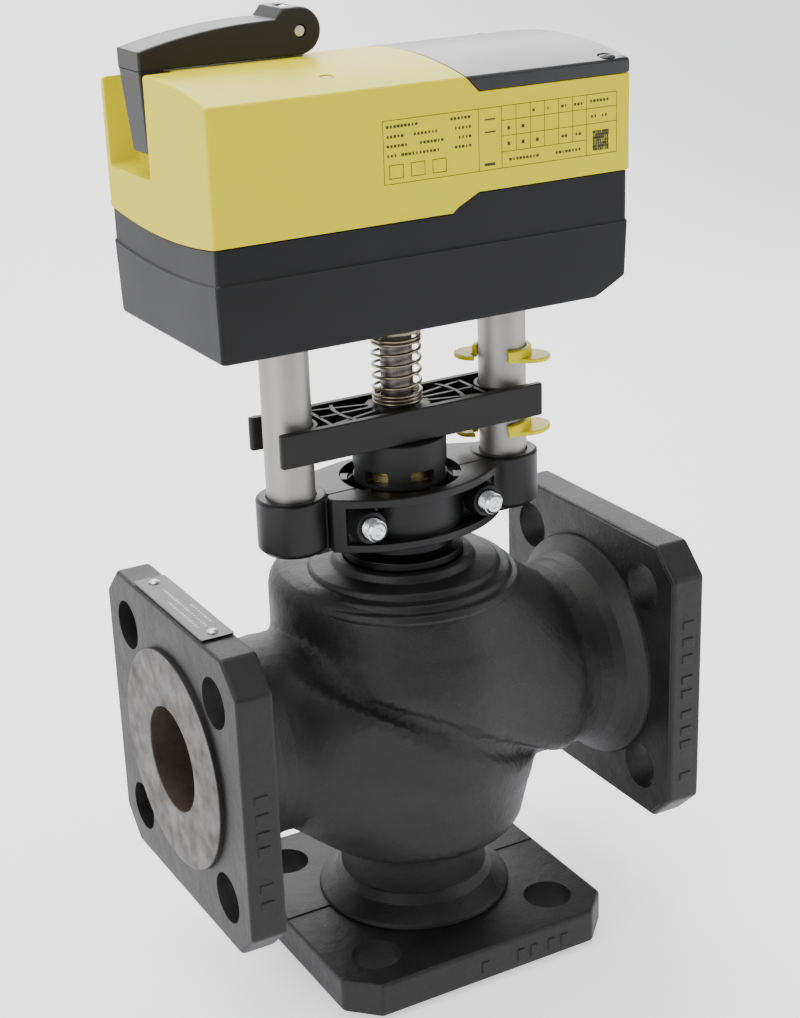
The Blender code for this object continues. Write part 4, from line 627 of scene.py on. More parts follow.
class Solid:
    """A closed mesh in millimetres that can be cut, joined, turned and dressed."""

    def __init__(self, verts: Sequence[Sequence[float]], faces: Sequence[Sequence[int]]) -> None:
        """Build the mesh with its faces turned outwards.

        Args:
            verts: The points.
            faces: The faces as point numbers.
        """
        mesh = bpy.data.meshes.new("solid")
        mesh.from_pydata([tuple(v) for v in verts], [], faces)
        self.obj = bpy.data.objects.new("solid", mesh)
        bpy.context.scene.collection.objects.link(self.obj)
        self.clean()

    @classmethod
    def wrap(cls, mesh: bpy.types.Mesh) -> "Solid":
        """A solid around a mesh that is already closed and outward.

        Args:
            mesh: The mesh.

        Returns:
            The solid.
        """
        made = cls.__new__(cls)
        made.obj = bpy.data.objects.new("solid", mesh)
        bpy.context.scene.collection.objects.link(made.obj)
        return made

    @classmethod
    def loft(cls, rings: Sequence[Sequence[Point3]]) -> "Solid":
        """Join rings of equal count, with a face at each end.

        Args:
            rings: The rings in order.

        Returns:
            The solid.
        """
        count = len(rings[0])
        verts = [point for ring in rings for point in ring]
        faces = [tuple(range(count)), tuple(range(len(verts) - count, len(verts)))]
        for level in range(len(rings) - 1):
            for index in range(count):
                ahead = (index + 1) % count
                low = level * count
                high = low + count
                faces.append((low + index, low + ahead, high + ahead, high + index))
        return cls(verts, faces)

    @classmethod
    def prism(
        cls, outline: Sequence[Point2], low: float, high: float, axis: Axis = Axis.Z, edge: float = 0.0,
        steps: int = 3
    ) -> "Solid":
        """Extrude an outline, with rounded edges at both ends.

        Args:
            outline: The outline.
            low: Where it starts along the axis.
            high: Where it ends.
            axis: The axis.
            edge: The edges' radius.
            steps: How many steps round an edge.

        Returns:
            The solid.
        """
        levels = [(0.0, low), (0.0, high)]
        if edge > 0:
            bend = [math.radians(90 * step / steps) for step in range(steps + 1)]
            levels = [(edge * (1 - math.sin(a)), low + edge * (1 - math.cos(a))) for a in bend]
            levels += [(edge * (1 - math.sin(a)), high - edge * (1 - math.cos(a))) for a in bend[::-1]]
        rings = []
        for inset, height in levels:
            ring = shrunk(outline, inset) if inset else outline
            rings.append([placed(a, b, height, axis) for a, b in ring])
        return cls.loft(rings)

    @classmethod
    def box(cls, low: Point3, high: Point3, edge: float = 0.0) -> "Solid":
        """A block between two corners, with rounded edges.

        Args:
            low: The lowest corner.
            high: The highest corner.
            edge: The edges' radius.

        Returns:
            The solid.
        """
        outline = rectangle(low[:2], high[:2])
        if edge:
            outline = filleted(outline, edge * EASE, 3)
        return cls.prism(outline, low[2], high[2], edge=edge)

    @classmethod
    def lathe(
        cls, profile: Sequence[Point2], axis: Axis = Axis.Z, centre: Point2 = (0.0, 0.0),
        steps: int = 0, edge: float = 0.0
    ) -> "Solid":
        """Turn a closed profile of (radius, height) points about an axis.

        Args:
            profile: The profile, which may touch the axis.
            axis: The axis.
            centre: Where the axis is.
            steps: How many sides, or zero for as many as the radius asks for.
            edge: The radius of the profile's corners away from the axis.

        Returns:
            The solid.
        """
        if edge:
            radii = [edge if r > 0.01 else 0.0 for r, _ in profile]
            profile = filleted(profile, radii, 3)
        widest = max(r for r, _ in profile)
        steps = steps or 2 * round(10 + math.sqrt(widest) * 4.5)
        verts: list[Point3] = []
        columns: list[list[int]] = []
        for radius, height in profile:
            if radius < 0.001:
                verts.append(placed(*centre, height, axis))
                columns.append([len(verts) - 1] * steps)
                continue
            column = []
            for step in range(steps):
                angle = math.tau * (step + 0.5) / steps
                first = centre[0] + radius * math.cos(angle)
                second = centre[1] + radius * math.sin(angle)
                column.append(len(verts))
                verts.append(placed(first, second, height, axis))
            columns.append(column)
        faces = []
        for index, column in enumerate(columns):
            following = columns[(index + 1) % len(columns)]
            if column[0] == column[1] and following[0] == following[1]:
                continue
            for step in range(steps):
                ahead = (step + 1) % steps
                face = [column[step], column[ahead], following[ahead], following[step]]
                face = list(dict.fromkeys(face))
                if len(face) > 2:
                    faces.append(face)
        return cls(verts, faces)

    @classmethod
    def rod(
        cls, radius: float, low: float, high: float, axis: Axis = Axis.Z, centre: Point2 = (0.0, 0.0),
        edge: float = 0.0
    ) -> "Solid":
        """A round bar."""
        profile = [(0.0, low), (radius, low), (radius, high), (0.0, high)]
        return cls.lathe(profile, axis, centre, edge=edge)

    def clean(self) -> "Solid":
        """Merge doubled points and turn the faces outwards.

        Returns:
            This solid.
        """
        work = bmesh.new()
        work.from_mesh(self.obj.data)
        bmesh.ops.remove_doubles(work, verts=work.verts, dist=0.0005)
        bmesh.ops.recalc_face_normals(work, faces=work.faces)
        work.to_mesh(self.obj.data)
        work.free()
        return self

    def _combine(self, operation: str, tools: Sequence["Solid"]) -> "Solid":
        """Apply booleans and drop the tools.

        Args:
            operation: The boolean's operation.
            tools: The solids to use.

        Returns:
            This solid.
        """
        for tool in tools:
            modifier = self.obj.modifiers.new("boolean", "BOOLEAN")
            modifier.object = tool.obj
            modifier.operation = operation
            modifier.solver = "EXACT"
            modifier.material_mode = "TRANSFER"
        self.bake()
        for tool in tools:
            tool.drop()
        return self.clean()

    def cut(self, *tools: "Solid") -> "Solid":
        """Take these solids away."""
        return self._combine("DIFFERENCE", tools)

    def join(self, *tools: "Solid") -> "Solid":
        """Unite with these solids."""
        return self._combine("UNION", tools)

    def keep(self, tool: "Solid") -> "Solid":
        """Keep only what is inside another solid."""
        return self._combine("INTERSECT", [tool])

    def gather(self, *others: "Solid") -> "Solid":
        """Put other closed shells into this mesh as they are.

        Args:
            others: The shells.

        Returns:
            This solid.
        """
        materials = list(self.obj.data.materials)
        work = bmesh.new()
        work.from_mesh(self.obj.data)
        for other in others:
            numbers = []
            for material in other.obj.data.materials:
                if material not in materials:
                    materials.append(material)
                numbers.append(materials.index(material))
            first = len(work.faces)
            work.from_mesh(other.obj.data)
            work.faces.ensure_lookup_table()
            for face in work.faces[first:]:
                if numbers:
                    face.material_index = numbers[face.material_index]
            other.drop()
        self.obj.data.materials.clear()
        for material in materials:
            self.obj.data.materials.append(material)
        work.to_mesh(self.obj.data)
        work.free()
        return self

    def bake(self) -> "Solid":
        """Replace the mesh with what its modifiers make of it.

        Returns:
            This solid.
        """
        graph = bpy.context.evaluated_depsgraph_get()
        mesh = bpy.data.meshes.new_from_object(self.obj.evaluated_get(graph))
        self.obj.modifiers.clear()
        self.obj.data = mesh
        return self

    def bevel(self, width: float, segments: int = 2, angle: float = 35.0) -> "Solid":
        """Round the edges that are sharper than an angle.

        Args:
            width: The bevel's width.
            segments: Its segments.
            angle: The least angle between faces, in degrees.

        Returns:
            This solid.
        """
        modifier = self.obj.modifiers.new("bevel", "BEVEL")
        modifier.width = width
        modifier.segments = segments
        modifier.limit_method = "ANGLE"
        modifier.angle_limit = math.radians(angle)
        modifier.use_clamp_overlap = False
        modifier.miter_outer = "MITER_ARC"
        return self.bake()

    def move(self, matrix: Matrix) -> "Solid":
        """Move the mesh by a matrix in millimetres."""
        self.obj.data.transform(matrix)
        return self

    def copy(self) -> "Solid":
        """A second solid with its own mesh."""
        return Solid.wrap(self.obj.data.copy())

    def drop(self) -> None:
        """Remove the solid from the scene."""
        bpy.data.objects.remove(self.obj)

    def paint_where(self, finish: Finish, test: Callable[[Vector, Vector], bool]) -> "Solid":
        """Give a finish to the faces that pass a test.

        Args:
            finish: The finish.
            test: Takes a face's centre and normal.

        Returns:
            This solid.
        """
        mesh = self.obj.data
        mesh.materials.append(finish.material())
        number = len(mesh.materials) - 1
        for polygon in mesh.polygons:
            if test(polygon.center, polygon.normal):
                polygon.material_index = number
        return self

    def coat(self, finish: Finish) -> "Solid":
        """Give the whole mesh one finish.

        Args:
            finish: The finish.

        Returns:
            This solid.
        """
        self.obj.data.materials.clear()
        self.obj.data.materials.append(finish.material())
        for polygon in self.obj.data.polygons:
            polygon.material_index = 0
        return self

    def dress(
        self, name: str, body: Body, finish: Finish, nodes: Sequence[str] = (), sharp: float = 38.0,
        weighted: bool = True
    ) -> bpy.types.Object:
        """Finish the piece: shade it, scale it to metres and hand it to the frame.

        Args:
            name: The piece's name.
            body: The body that it rides on.
            finish: Its finish, unless its faces have theirs already.
            nodes: The CAD nodes that it stands for.
            sharp: The angle in degrees from which an edge stays sharp.
            weighted: Whether large faces keep their normals flat.

        Returns:
            The piece.
        """
        if not any(self.obj.data.materials):
            self.coat(finish)
        mesh = self.obj.data
        mesh.polygons.foreach_set("use_smooth", [True] * len(mesh.polygons))
        mesh.set_sharp_from_angle(angle=math.radians(sharp))
        if weighted:
            modifier = self.obj.modifiers.new("flat faces", "WEIGHTED_NORMAL")
            modifier.keep_sharp = True
            modifier.weight = 90
            self.bake()
        self.obj.data.transform(Matrix.Scale(MM, 4))
        self.obj.name = name
        self.obj.data.name = name
        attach(self.obj, body.value)
        if nodes:
            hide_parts(*nodes)
        LOG.info("%s: %d faces on %s", name, len(self.obj.data.polygons), body.value)
        return self.obj


# Geometry node trees


class Builder(Graph):
    """A Geometry Nodes tree with named inputs, applied to an object and made plain."""

    def __init__(self, name: str, sizes: dict[str, str]) -> None:
        """Make the tree with its inputs.

        Args:
            name: The tree's name.
            sizes: Input names with their socket types.
        """
        super().__init__(bpy.data.node_groups.new(name, "GeometryNodeTree"))
        face = self.tree.interface
        face.new_socket(name="Geometry", in_out="INPUT", socket_type="NodeSocketGeometry")
        for label, kind in sizes.items():
            face.new_socket(name=label, in_out="INPUT", socket_type=kind)
        face.new_socket(name="Material", in_out="INPUT", socket_type="NodeSocketMaterial")
        face.new_socket(name="Geometry", in_out="OUTPUT", socket_type="NodeSocketGeometry")
        self.entry = self.tree.nodes.new("NodeGroupInput")

    def given(self, name: str) -> Socket:
        """One of the tree's inputs."""
        return Socket(self, self.entry.outputs[name])

    def close(self, geometry: Socket) -> None:
        """End the tree in Realize Instances and Set Material.

        Args:
            geometry: What the tree has made.
        """
        real = self.add("GeometryNodeRealizeInstances", inputs={"Geometry": geometry})
        inputs = {"Geometry": real, "Material": self.given("Material")}
        done = self.add("GeometryNodeSetMaterial", inputs=inputs)
        way_out = self.tree.nodes.new("NodeGroupOutput")
        self.tree.links.new(done.socket, way_out.inputs[0])

    def apply(self, start: bpy.types.Mesh, finish: Finish, **values: object) -> Solid:
        """Run the tree on a mesh and keep the result as a plain mesh.

        Args:
            start: The mesh that the tree starts from.
            finish: The finish given to the result.
            values: The tree's inputs; underscores stand for spaces.

        Returns:
            The result as a solid.
        """
        made = Solid.wrap(start)
        modifier = made.obj.modifiers.new("tree", "NODES")
        modifier.node_group = self.tree
        names = {
            item.name: item.identifier
            for item in self.tree.interface.items_tree
            if item.item_type == "SOCKET" and item.in_out == "INPUT"
        }
        for key, value in values.items():
            modifier[names[key.replace("_", " ")]] = value
        modifier[names["Material"]] = finish.material()
        return made.bake()


def polyline(points: Sequence[Point3]) -> bpy.types.Mesh:
    """A mesh of points joined in a line.

    Args:
        points: The points in order.

    Returns:
        The mesh.
    """
    mesh = bpy.data.meshes.new("line")
    mesh.from_pydata(points, [(i, i + 1) for i in range(len(points) - 1)], [])
    return mesh


def spots(points: Sequence[Point3]) -> bpy.types.Mesh:
    """A mesh of loose points.

    Args:
        points: The points.

    Returns:
        The mesh.
    """
    mesh = bpy.data.meshes.new("spots")
    mesh.from_pydata(points, [], [])
    return mesh


class WireTree(Builder):
    """Sweeps a round wire along a line."""

    def __init__(self) -> None:
        """Build the tree."""
        super().__init__("wire_along_line", {"Wire Radius": "NodeSocketFloat", "Sides": "NodeSocketInt"})
        line = self.add("GeometryNodeMeshToCurve", inputs={"Mesh": self.given("Geometry")})
        profile = self.add(
            "GeometryNodeCurvePrimitiveCircle",
            inputs={"Resolution": self.given("Sides"), "Radius": self.given("Wire Radius")},
        )
        inputs = {"Curve": line, "Profile Curve": profile, "Fill Caps": True}
        self.close(self.add("GeometryNodeCurveToMesh", inputs=inputs))


class ScatterTree(Builder):
    """Places one shape on every point, as screws, rivets and pads are placed."""

    def __init__(self) -> None:
        """Build the tree."""
        super().__init__("shape_on_points", {"Shape": "NodeSocketObject", "Turn": "NodeSocketVector"})
        inputs = {"Object": self.given("Shape"), "As Instance": True}
        shape = self.add("GeometryNodeObjectInfo", inputs=inputs, output="Geometry")
        turn = self.add("FunctionNodeEulerToRotation", inputs={0: self.given("Turn")})
        inputs = {"Points": self.given("Geometry"), "Instance": shape, "Rotation": turn}
        self.close(self.add("GeometryNodeInstanceOnPoints", inputs=inputs))

    def place(
        self, shape: Solid, points: Sequence[Point3], finish: Finish, turn: Point3 = (0, 0, 0)
    ) -> Solid:
        """Put copies of a shape on points and drop the shape.

        Args:
            shape: The shape, about the origin.
            points: Where the copies go.
            finish: Their finish.
            turn: The turn of each copy, in radians.

        Returns:
            All copies as one solid.
        """
        made = self.apply(spots(points), finish, Shape=shape.obj, Turn=turn)
        shape.drop()
        return made


class DashTree(Builder):
    """Lays printed dashes of chance lengths on every point, like lines of small print."""

    def __init__(self) -> None:
        """Build the tree."""
        sizes = {
            "Length": "NodeSocketFloat",
            "Height": "NodeSocketFloat",
            "Thickness": "NodeSocketFloat",
            "Shortest": "NodeSocketFloat",
            "Seed": "NodeSocketInt",
        }
        super().__init__("print_dashes", sizes)
        parts = {"X": self.given("Length"), "Y": self.given("Thickness"), "Z": self.given("Height")}
        size = self.add("ShaderNodeCombineXYZ", inputs=parts)
        bar = self.add("GeometryNodeMeshCube", inputs={"Size": size})
        chance = self.add(
            "FunctionNodeRandomValue",
            {"data_type": "FLOAT"},
            {"Min_001": self.given("Shortest"), "Max_001": 1.0, "Seed": self.given("Seed")},
            "Value_001",
        )
        scale = self.add("ShaderNodeCombineXYZ", inputs={"X": chance, "Y": 1.0, "Z": 1.0})
        inputs = {"Points": self.given("Geometry"), "Instance": bar, "Scale": scale}
        self.close(self.add("GeometryNodeInstanceOnPoints", inputs=inputs))


# Cast shapes as distance fields


class Field:
    """Signed distances on a grid, negative inside, for shapes whose parts run into each other."""

    def __init__(self, low: Point3, high: Point3, step: float) -> None:
        """Lay the grid.

        Args:
            low: Its lowest corner.
            high: Its highest corner.
            step: Its spacing.
        """
        self.step = step
        self.low = np.array(low, np.float32)
        counts = [int(round((b - a) / step)) + 1 for a, b in zip(low, high)]
        axes = [a + step * np.arange(n, dtype=np.float32) for a, n in zip(low, counts)]
        self.x = axes[0][:, None, None]
        self.y = axes[1][None, :, None]
        self.z = axes[2][None, None, :]
        self.shape = tuple(counts)

    def hull(self, points: Sequence[Point3], test: Callable[[Vector], bool] | None = None) -> np.ndarray:
        """Distance to the planes of a convex hull.

        Args:
            points: The hull's points.
            test: Takes a plane's normal; only planes that pass are used.

        Returns:
            The field.
        """
        work = bmesh.new()
        for point in points:
            work.verts.new(point)
        bmesh.ops.convex_hull(work, input=work.verts)
        bmesh.ops.recalc_face_normals(work, faces=work.faces)
        planes = {}
        for face in work.faces:
            normal = face.normal
            if face.calc_area() > 1e-4 and (test is None or test(normal)):
                reach = normal.dot(face.verts[0].co)
                planes[tuple(round(v, 3) for v in (*normal, reach / 10))] = (*normal, reach)
        work.free()
        result = np.full(self.shape, -1e6, np.float32)
        for a, b, c, reach in planes.values():
            a, b, c, reach = np.float32([a, b, c, reach])
            np.maximum(result, (a * self.x + b * self.y) + (c * self.z - reach), out=result)
        return result

    def rod(
        self, radius: float, low: float, high: float, axis: Axis = Axis.Z, height: float = 0.0
    ) -> np.ndarray:
        """Distance to a round bar about the stem axis or a level pipe axis.

        Args:
            radius: Its radius.
            low: Where it starts.
            high: Where it ends.
            axis: Its axis.
            height: The level of a bar along X.

        Returns:
            The field.
        """
        if axis is Axis.X:
            away = np.sqrt(self.y**2 + (self.z - height) ** 2)
            along = self.x
        else:
            away = np.sqrt(self.x**2 + self.y**2)
            along = self.z
        side = away - radius
        end = np.maximum(low - along, along - high)
        return smooth_larger(np.broadcast_to(side, self.shape), np.broadcast_to(end, self.shape), 1.6)

    def surface(self, values: np.ndarray) -> Solid:
        """Draw the surface where the field is zero.

        Args:
            values: The field.

        Returns:
            The closed surface.
        """
        inside = values < 0
        cells = tuple(n - 1 for n in self.shape)
        total = np.zeros((*cells, 3), np.float32)
        count = np.zeros(cells, np.float32)
        crossings = []
        for axis in range(3):
            first = [slice(None)] * 3
            second = [slice(None)] * 3
            first[axis] = slice(0, -1)
            second[axis] = slice(1, None)
            a, b = values[tuple(first)], values[tuple(second)]
            crossed = inside[tuple(first)] != inside[tuple(second)]
            share = np.where(crossed, a / np.where(crossed, a - b, 1.0), 0.0)
            crossings.append((crossed, inside[tuple(first)]))
            others = [n for n in range(3) if n != axis]
            for i in (0, 1):
                for j in (0, 1):
                    window = [slice(None)] * 3
                    window[others[0]] = slice(i, i + cells[others[0]])
                    window[others[1]] = slice(j, j + cells[others[1]])
                    hit = crossed[tuple(window)]
                    count += hit
                    total[..., axis] += share[tuple(window)]
                    total[..., others[0]] += hit * i
                    total[..., others[1]] += hit * j
        used = count > 0
        number = np.full(cells, -1, np.int64)
        number[used] = np.arange(int(used.sum()))
        corner = np.stack(np.nonzero(used), axis=1)
        verts = (total[used] / count[used][:, None] + corner) * self.step + self.low
        quads = []
        for axis, (crossed, lower_in) in enumerate(crossings):
            others = [n for n in range(3) if n != axis]
            window = [slice(None)] * 3
            for n in others:
                window[n] = slice(1, -1)
            where = np.stack(np.nonzero(crossed[tuple(window)]), axis=1)
            for n in others:
                where[:, n] += 1
            ring = []
            for i, j in ((-1, -1), (0, -1), (0, 0), (-1, 0)):
                cell = where.copy()
                cell[:, others[0]] += i
                cell[:, others[1]] += j
                ring.append(number[tuple(cell.T)])
            quad = np.stack(ring, axis=1)
            flip = lower_in[tuple(where.T)] == (axis == 1)
            quad[flip] = quad[flip][:, ::-1]
            quads.append(quad)
        mesh = bpy.data.meshes.new("cast")
        mesh.from_pydata(verts.tolist(), [], np.concatenate(quads).tolist())
        return Solid.wrap(mesh)


def smooth_smaller(a: np.ndarray, b: np.ndarray, radius: float) -> np.ndarray:
    """Unite two fields with a fillet."""
    overlap = np.maximum(radius - np.abs(a - b), 0) / radius
    return np.minimum(a, b) - overlap * overlap * radius * 0.25


def smooth_larger(a: np.ndarray, b: np.ndarray, radius: float) -> np.ndarray:
    """Intersect two fields with a rounded edge."""
    return -smooth_smaller(-a, -b, radius)


def relaxed(values: np.ndarray, times: int) -> np.ndarray:
    """Smooth a field along its three axes.

    Args:
        values: The field.
        times: How often.

    Returns:
        The smoother field.
    """
    for _ in range(times):
        for axis in range(3):
            padded = np.pad(values, [(1, 1) if n == axis else (0, 0) for n in range(3)], mode="edge")
            before = np.take(padded, range(0, values.shape[axis]), axis)
            after = np.take(padded, range(2, values.shape[axis] + 2), axis)
            values = 0.5 * values + 0.25 * (before + after)
    return values


# Valve


@dataclass
class Casting:
    """The valve's casting: two bells about the stem that run into ducts, and three square flanges."""

    pipe_z: float = 100.0
    reach: float = 100.0
    flange_half: float = 58.4
    flange_corner: float = 11.2
    flange_back: float = 84.0
    raised_radius: float = 42.0
    raised_height: float = 2.0
    bolt_reach: float = 38.89
    bolt_radius: float = 9.5
    bore: float = 20.0
    duct_radius: float = 37.2
    duct_root: float = 24.0
    bell_end: Point2 = (38.4, 58.0)
    bell: tuple[Point2, ...] = ((50.4, -30.0), (50.4, 20.0), (43.8, 50.0), (38.5, 54.0))
    core: tuple[Point2, ...] = ((50.0, 25.0), (47.0, 36.0), (43.8, 46.0))
    stem_cores: tuple[Point3, ...] = ((21.0, 0.0, 62.0), (19.5, 60.0, 130.0), (22.4, 128.0, 180.0))
    lip_level: Point2 = (24.5, 0.25)
    lip_slope: Point2 = (5.0, 0.62)
    belt_radius: float = 46.8
    belt_half_height: float = 30.0
    shoulder_radius: float = 43.5
    shoulder_place: Point2 = (-5.0, 9.0)
    shoulder_levels: Point2 = (122.0, 155.0)
    neck_radius: float = 29.0
    neck_top: float = 60.0
    wall: float = 11.0
    cell: float = 1.5
    top_steps: tuple[Point2, ...] = (
        (22.5, 142.0), (40.5, 142.0), (44.6, 149.3), (43.4, 151.6), (41.0, 151.9), (40.6, 154.3),
        (36.8, 154.8), (35.9, 157.2), (27.6, 157.6), (26.5, 160.5), (22.5, 160.5),
    )
    flare: tuple[Point2, ...] = (
        (24.0, 60.0), (36.4, 60.0), (37.3, 67.0), (38.2, 72.0), (40.0, 76.2), (43.0, 79.6), (45.6, 81.8),
        (46.4, 84.4), (24.0, 84.4),
    )
    foot: tuple[Point2, ...] = (
        (24.0, 15.7), (38.6, 15.7), (37.8, 18.0), (35.0, 20.4), (31.6, 23.2), (29.4, 27.0), (24.0, 32.0),
    )
    pad_height: float = 0.5
    right_pads: tuple[float, ...] = (63.0, 77.0, 83.0, 90.0, 99.0, 105.0, 114.0, 121.0, 128.0)
    left_pads: tuple[float, ...] = (66.0, 73.0, 88.0, 94.0, 101.0, 108.0)
    bottom_pads: tuple[float, ...] = (-2.0, 14.0, 20.0, 28.0, 34.0)

    def bell_points(self, side: int, inset: float, steps: int = 72) -> list[Point3]:
        """The points whose hull is one bell with the start of its duct.

        Args:
            side: 1 for the upper right one, -1 for the lower left one.
            inset: How far inside the outer skin.
            steps: The points of each circle.

        Returns:
            The points.
        """
        angles = [math.tau * (step + 0.5) / steps for step in range(steps)]
        rings = self.core if inset else self.bell
        points = []
        for radius, level in rings:
            r, z = radius - inset, self.pipe_z + side * level
            points += [(r * math.cos(a), r * math.sin(a), z) for a in angles]
        radius, x = (self.bore - 1.0, self.flange_back - 10.0) if inset else self.bell_end
        points += [(side * x, radius * math.cos(a), self.pipe_z + radius * math.sin(a)) for a in angles]
        return points

    def bell_skin(self, grid: Field, side: int) -> np.ndarray:
        """One bell, cut along its slanted lip, with its duct.

        Args:
            grid: The grid.
            side: 1 for the upper right one, -1 for the lower left one.

        Returns:
            The field.
        """
        x, rise = side * grid.x, side * (grid.z - self.pipe_z)
        level = self.lip_level[0] - self.lip_level[1] * (x + 50.0) - rise
        slope = (self.lip_slope[0] - self.lip_slope[1] * x - rise) * 0.85
        lip = np.broadcast_to(smooth_smaller(level, slope, 7.0), grid.shape)
        bell = smooth_larger(relaxed(grid.hull(self.bell_points(side, 0.0)), 2), lip, 3.0)
        low, high = sorted((side * self.duct_root, side * (self.flange_back + 4.0)))
        duct = grid.rod(self.duct_radius, low, high, Axis.X, self.pipe_z)
        return smooth_smaller(bell, duct, 4.0)

    def chambers(self) -> Solid:
        """The bells, ducts, belt and neck as one cast surface.

        Returns:
            The hollow chamber body without its flange plates.
        """
        grid = Field((-90.0, -56.0, 10.0), (90.0, 56.0, 162.0), self.cell)
        skin = smooth_smaller(self.bell_skin(grid, 1), self.bell_skin(grid, -1), 3.5)
        belt = grid.rod(
            self.belt_radius, self.pipe_z - self.belt_half_height, self.pipe_z + self.belt_half_height
        )
        skin = relaxed(smooth_smaller(skin, belt, 4.0), 1)
        skin = smooth_smaller(skin, grid.rod(self.neck_radius, 12.0, self.neck_top), 8.0)
        away = np.sqrt((grid.x - self.shoulder_place[0]) ** 2 + (grid.y - self.shoulder_place[1]) ** 2)
        low, high = self.shoulder_levels
        height = np.maximum(grid.z - high, low - grid.z)
        side = np.broadcast_to(away - self.shoulder_radius, grid.shape)
        shoulder = smooth_larger(side, np.broadcast_to(height, grid.shape), 9.0)
        skin = smooth_smaller(skin, shoulder, 4.0)
        for side in (1, -1):
            skin = np.maximum(skin, -grid.hull(self.bell_points(side, self.wall, 40)))
            low, high = sorted((side * 64.0, side * 99.0))
            skin = np.maximum(skin, -grid.rod(self.bore + 1.0, low, high, Axis.X, self.pipe_z))
        for radius, low, high in self.stem_cores:
            skin = np.maximum(skin, -grid.rod(radius, low, high))
        return grid.surface(skin).coat(CASTING)

    def rings(self) -> list[Solid]:
        """The stepped top of the casting and the flared ring where each duct meets its flange.

        Returns:
            The rings.
        """
        made = [Solid.lathe(self.top_steps, edge=1.3, steps=112)]
        for side in (-1, 1):
            outline = [(radius, side * x) for radius, x in self.flare]
            made.append(Solid.lathe(outline, Axis.X, (0.0, self.pipe_z), 96, edge=1.6))
        made.append(Solid.lathe(self.foot, edge=1.6, steps=96))
        return [ring.coat(CASTING) for ring in made]

    def flange_outline(self) -> list[Point2]:
        """The square outline with cut corners, slightly rounded.

        Returns:
            The outline.
        """
        half, cut = self.flange_half, self.flange_corner
        corners = [(half - cut, -half), (half, cut - half), (half, half - cut), (half - cut, half)]
        corners += [(cut - half, half), (-half, half - cut), (-half, cut - half), (cut - half, -half)]
        return filleted(corners, 3.0, 3)

    def flange(self) -> Solid:
        """One flange lying on its raised face at height zero, with its bore's liner upright.

        Returns:
            The flange.
        """
        thickness = self.reach - self.flange_back
        plate = Solid.prism(self.flange_outline(), self.raised_height, thickness, edge=1.6)
        half, cut = self.flange_half - 1.2, self.flange_corner
        step_outline = [
            (-half, 0.0), (half, 0.0), (half, half - cut), (half - cut, half), (cut - half, half)
        ]
        step_outline += [(-half, half - cut)]
        plate.join(Solid.prism(step_outline, thickness - 3.0, thickness + 0.45, edge=0.4))
        holes = [
            Solid.rod(
                self.bolt_radius, -OVERRUN, thickness + 2.0,
                centre=(a * self.bolt_reach, b * self.bolt_reach),
            )
            for a in (-1, 1)
            for b in (-1, 1)
        ]
        plate.cut(Solid.rod(self.bore + 1.5, -OVERRUN, thickness + 2.0), *holes)
        plate.coat(CASTING)
        liner = [
            (self.bore, 0.0), (self.raised_radius, 0.0), (self.raised_radius, 3.0), (self.bore + 2.2, 3.0)
        ]
        liner += [(self.bore + 2.2, 36.0), (self.bore, 36.0)]
        face = Solid.lathe(liner, edge=0.5, steps=96).coat(CASTING)
        return plate.join(face)

    def cast_pads(self, scatter: ScatterTree) -> Solid:
        """Rows of small plain pads on the flanges' front rims, as cast marks stand there.

        Args:
            scatter: The tree that places them.

        Returns:
            The pads.
        """
        front = -self.flange_half
        middle = self.reach - 9.0
        right = [(middle, front, z) for z in self.right_pads]
        left = [(-middle, front, z) for z in self.left_pads]
        low = [(x, front, 8.0) for x in self.bottom_pads]
        pad = Solid.box((-2.6, -self.pad_height, -1.7), (2.6, self.pad_height, 1.7), 0.4)
        upright = scatter.place(pad, [*right, *left], CASTING)
        pad = Solid.box((-1.7, -self.pad_height, -2.6), (1.7, self.pad_height, 2.6), 0.4)
        return upright.gather(scatter.place(pad, low, CASTING))

    def build(self, scatter: ScatterTree) -> None:
        """Make and dress the casting.

        Args:
            scatter: The tree that places the cast pads.
        """
        body = self.chambers()
        flange = self.flange()
        lift = Matrix.Translation((0.0, 0.0, self.pipe_z))
        to_left = lift @ Matrix.Translation((-self.reach, 0, 0)) @ Matrix.Rotation(math.pi / 2, 4, "Y")
        to_right = Matrix.Rotation(math.pi, 4, "Z") @ to_left
        plates = [flange.copy().move(to_left), flange.copy().move(to_right), flange]
        body.gather(*plates, *self.rings(), self.cast_pads(scatter))
        edge, bore = self.reach - 0.6, self.bore + 0.3

        def on_face(spot: Vector, normal: Vector) -> bool:
            """Whether a face belongs to a side flange's raised face."""
            return abs(spot.x) > edge and abs(normal.x) > 0.9

        def under(spot: Vector, normal: Vector) -> bool:
            """Whether a face belongs to the bottom flange's raised face."""
            return spot.z < 0.5 and normal.z < -0.9

        def in_bore(spot: Vector, normal: Vector) -> bool:
            """Whether a face lies in one of the three bores."""
            side = abs(spot.x) > 60 and math.hypot(spot.y, spot.z - self.pipe_z) < bore
            return side or (spot.z < 36 and math.hypot(spot.x, spot.y) < bore)

        body.paint_where(FACE_LEFT, on_face).paint_where(FACE_BOTTOM, under).paint_where(BORE, in_bore)
        body.dress("valve_casting", Body.FRAME, CASTING, ["valve_body"], sharp=50.0)


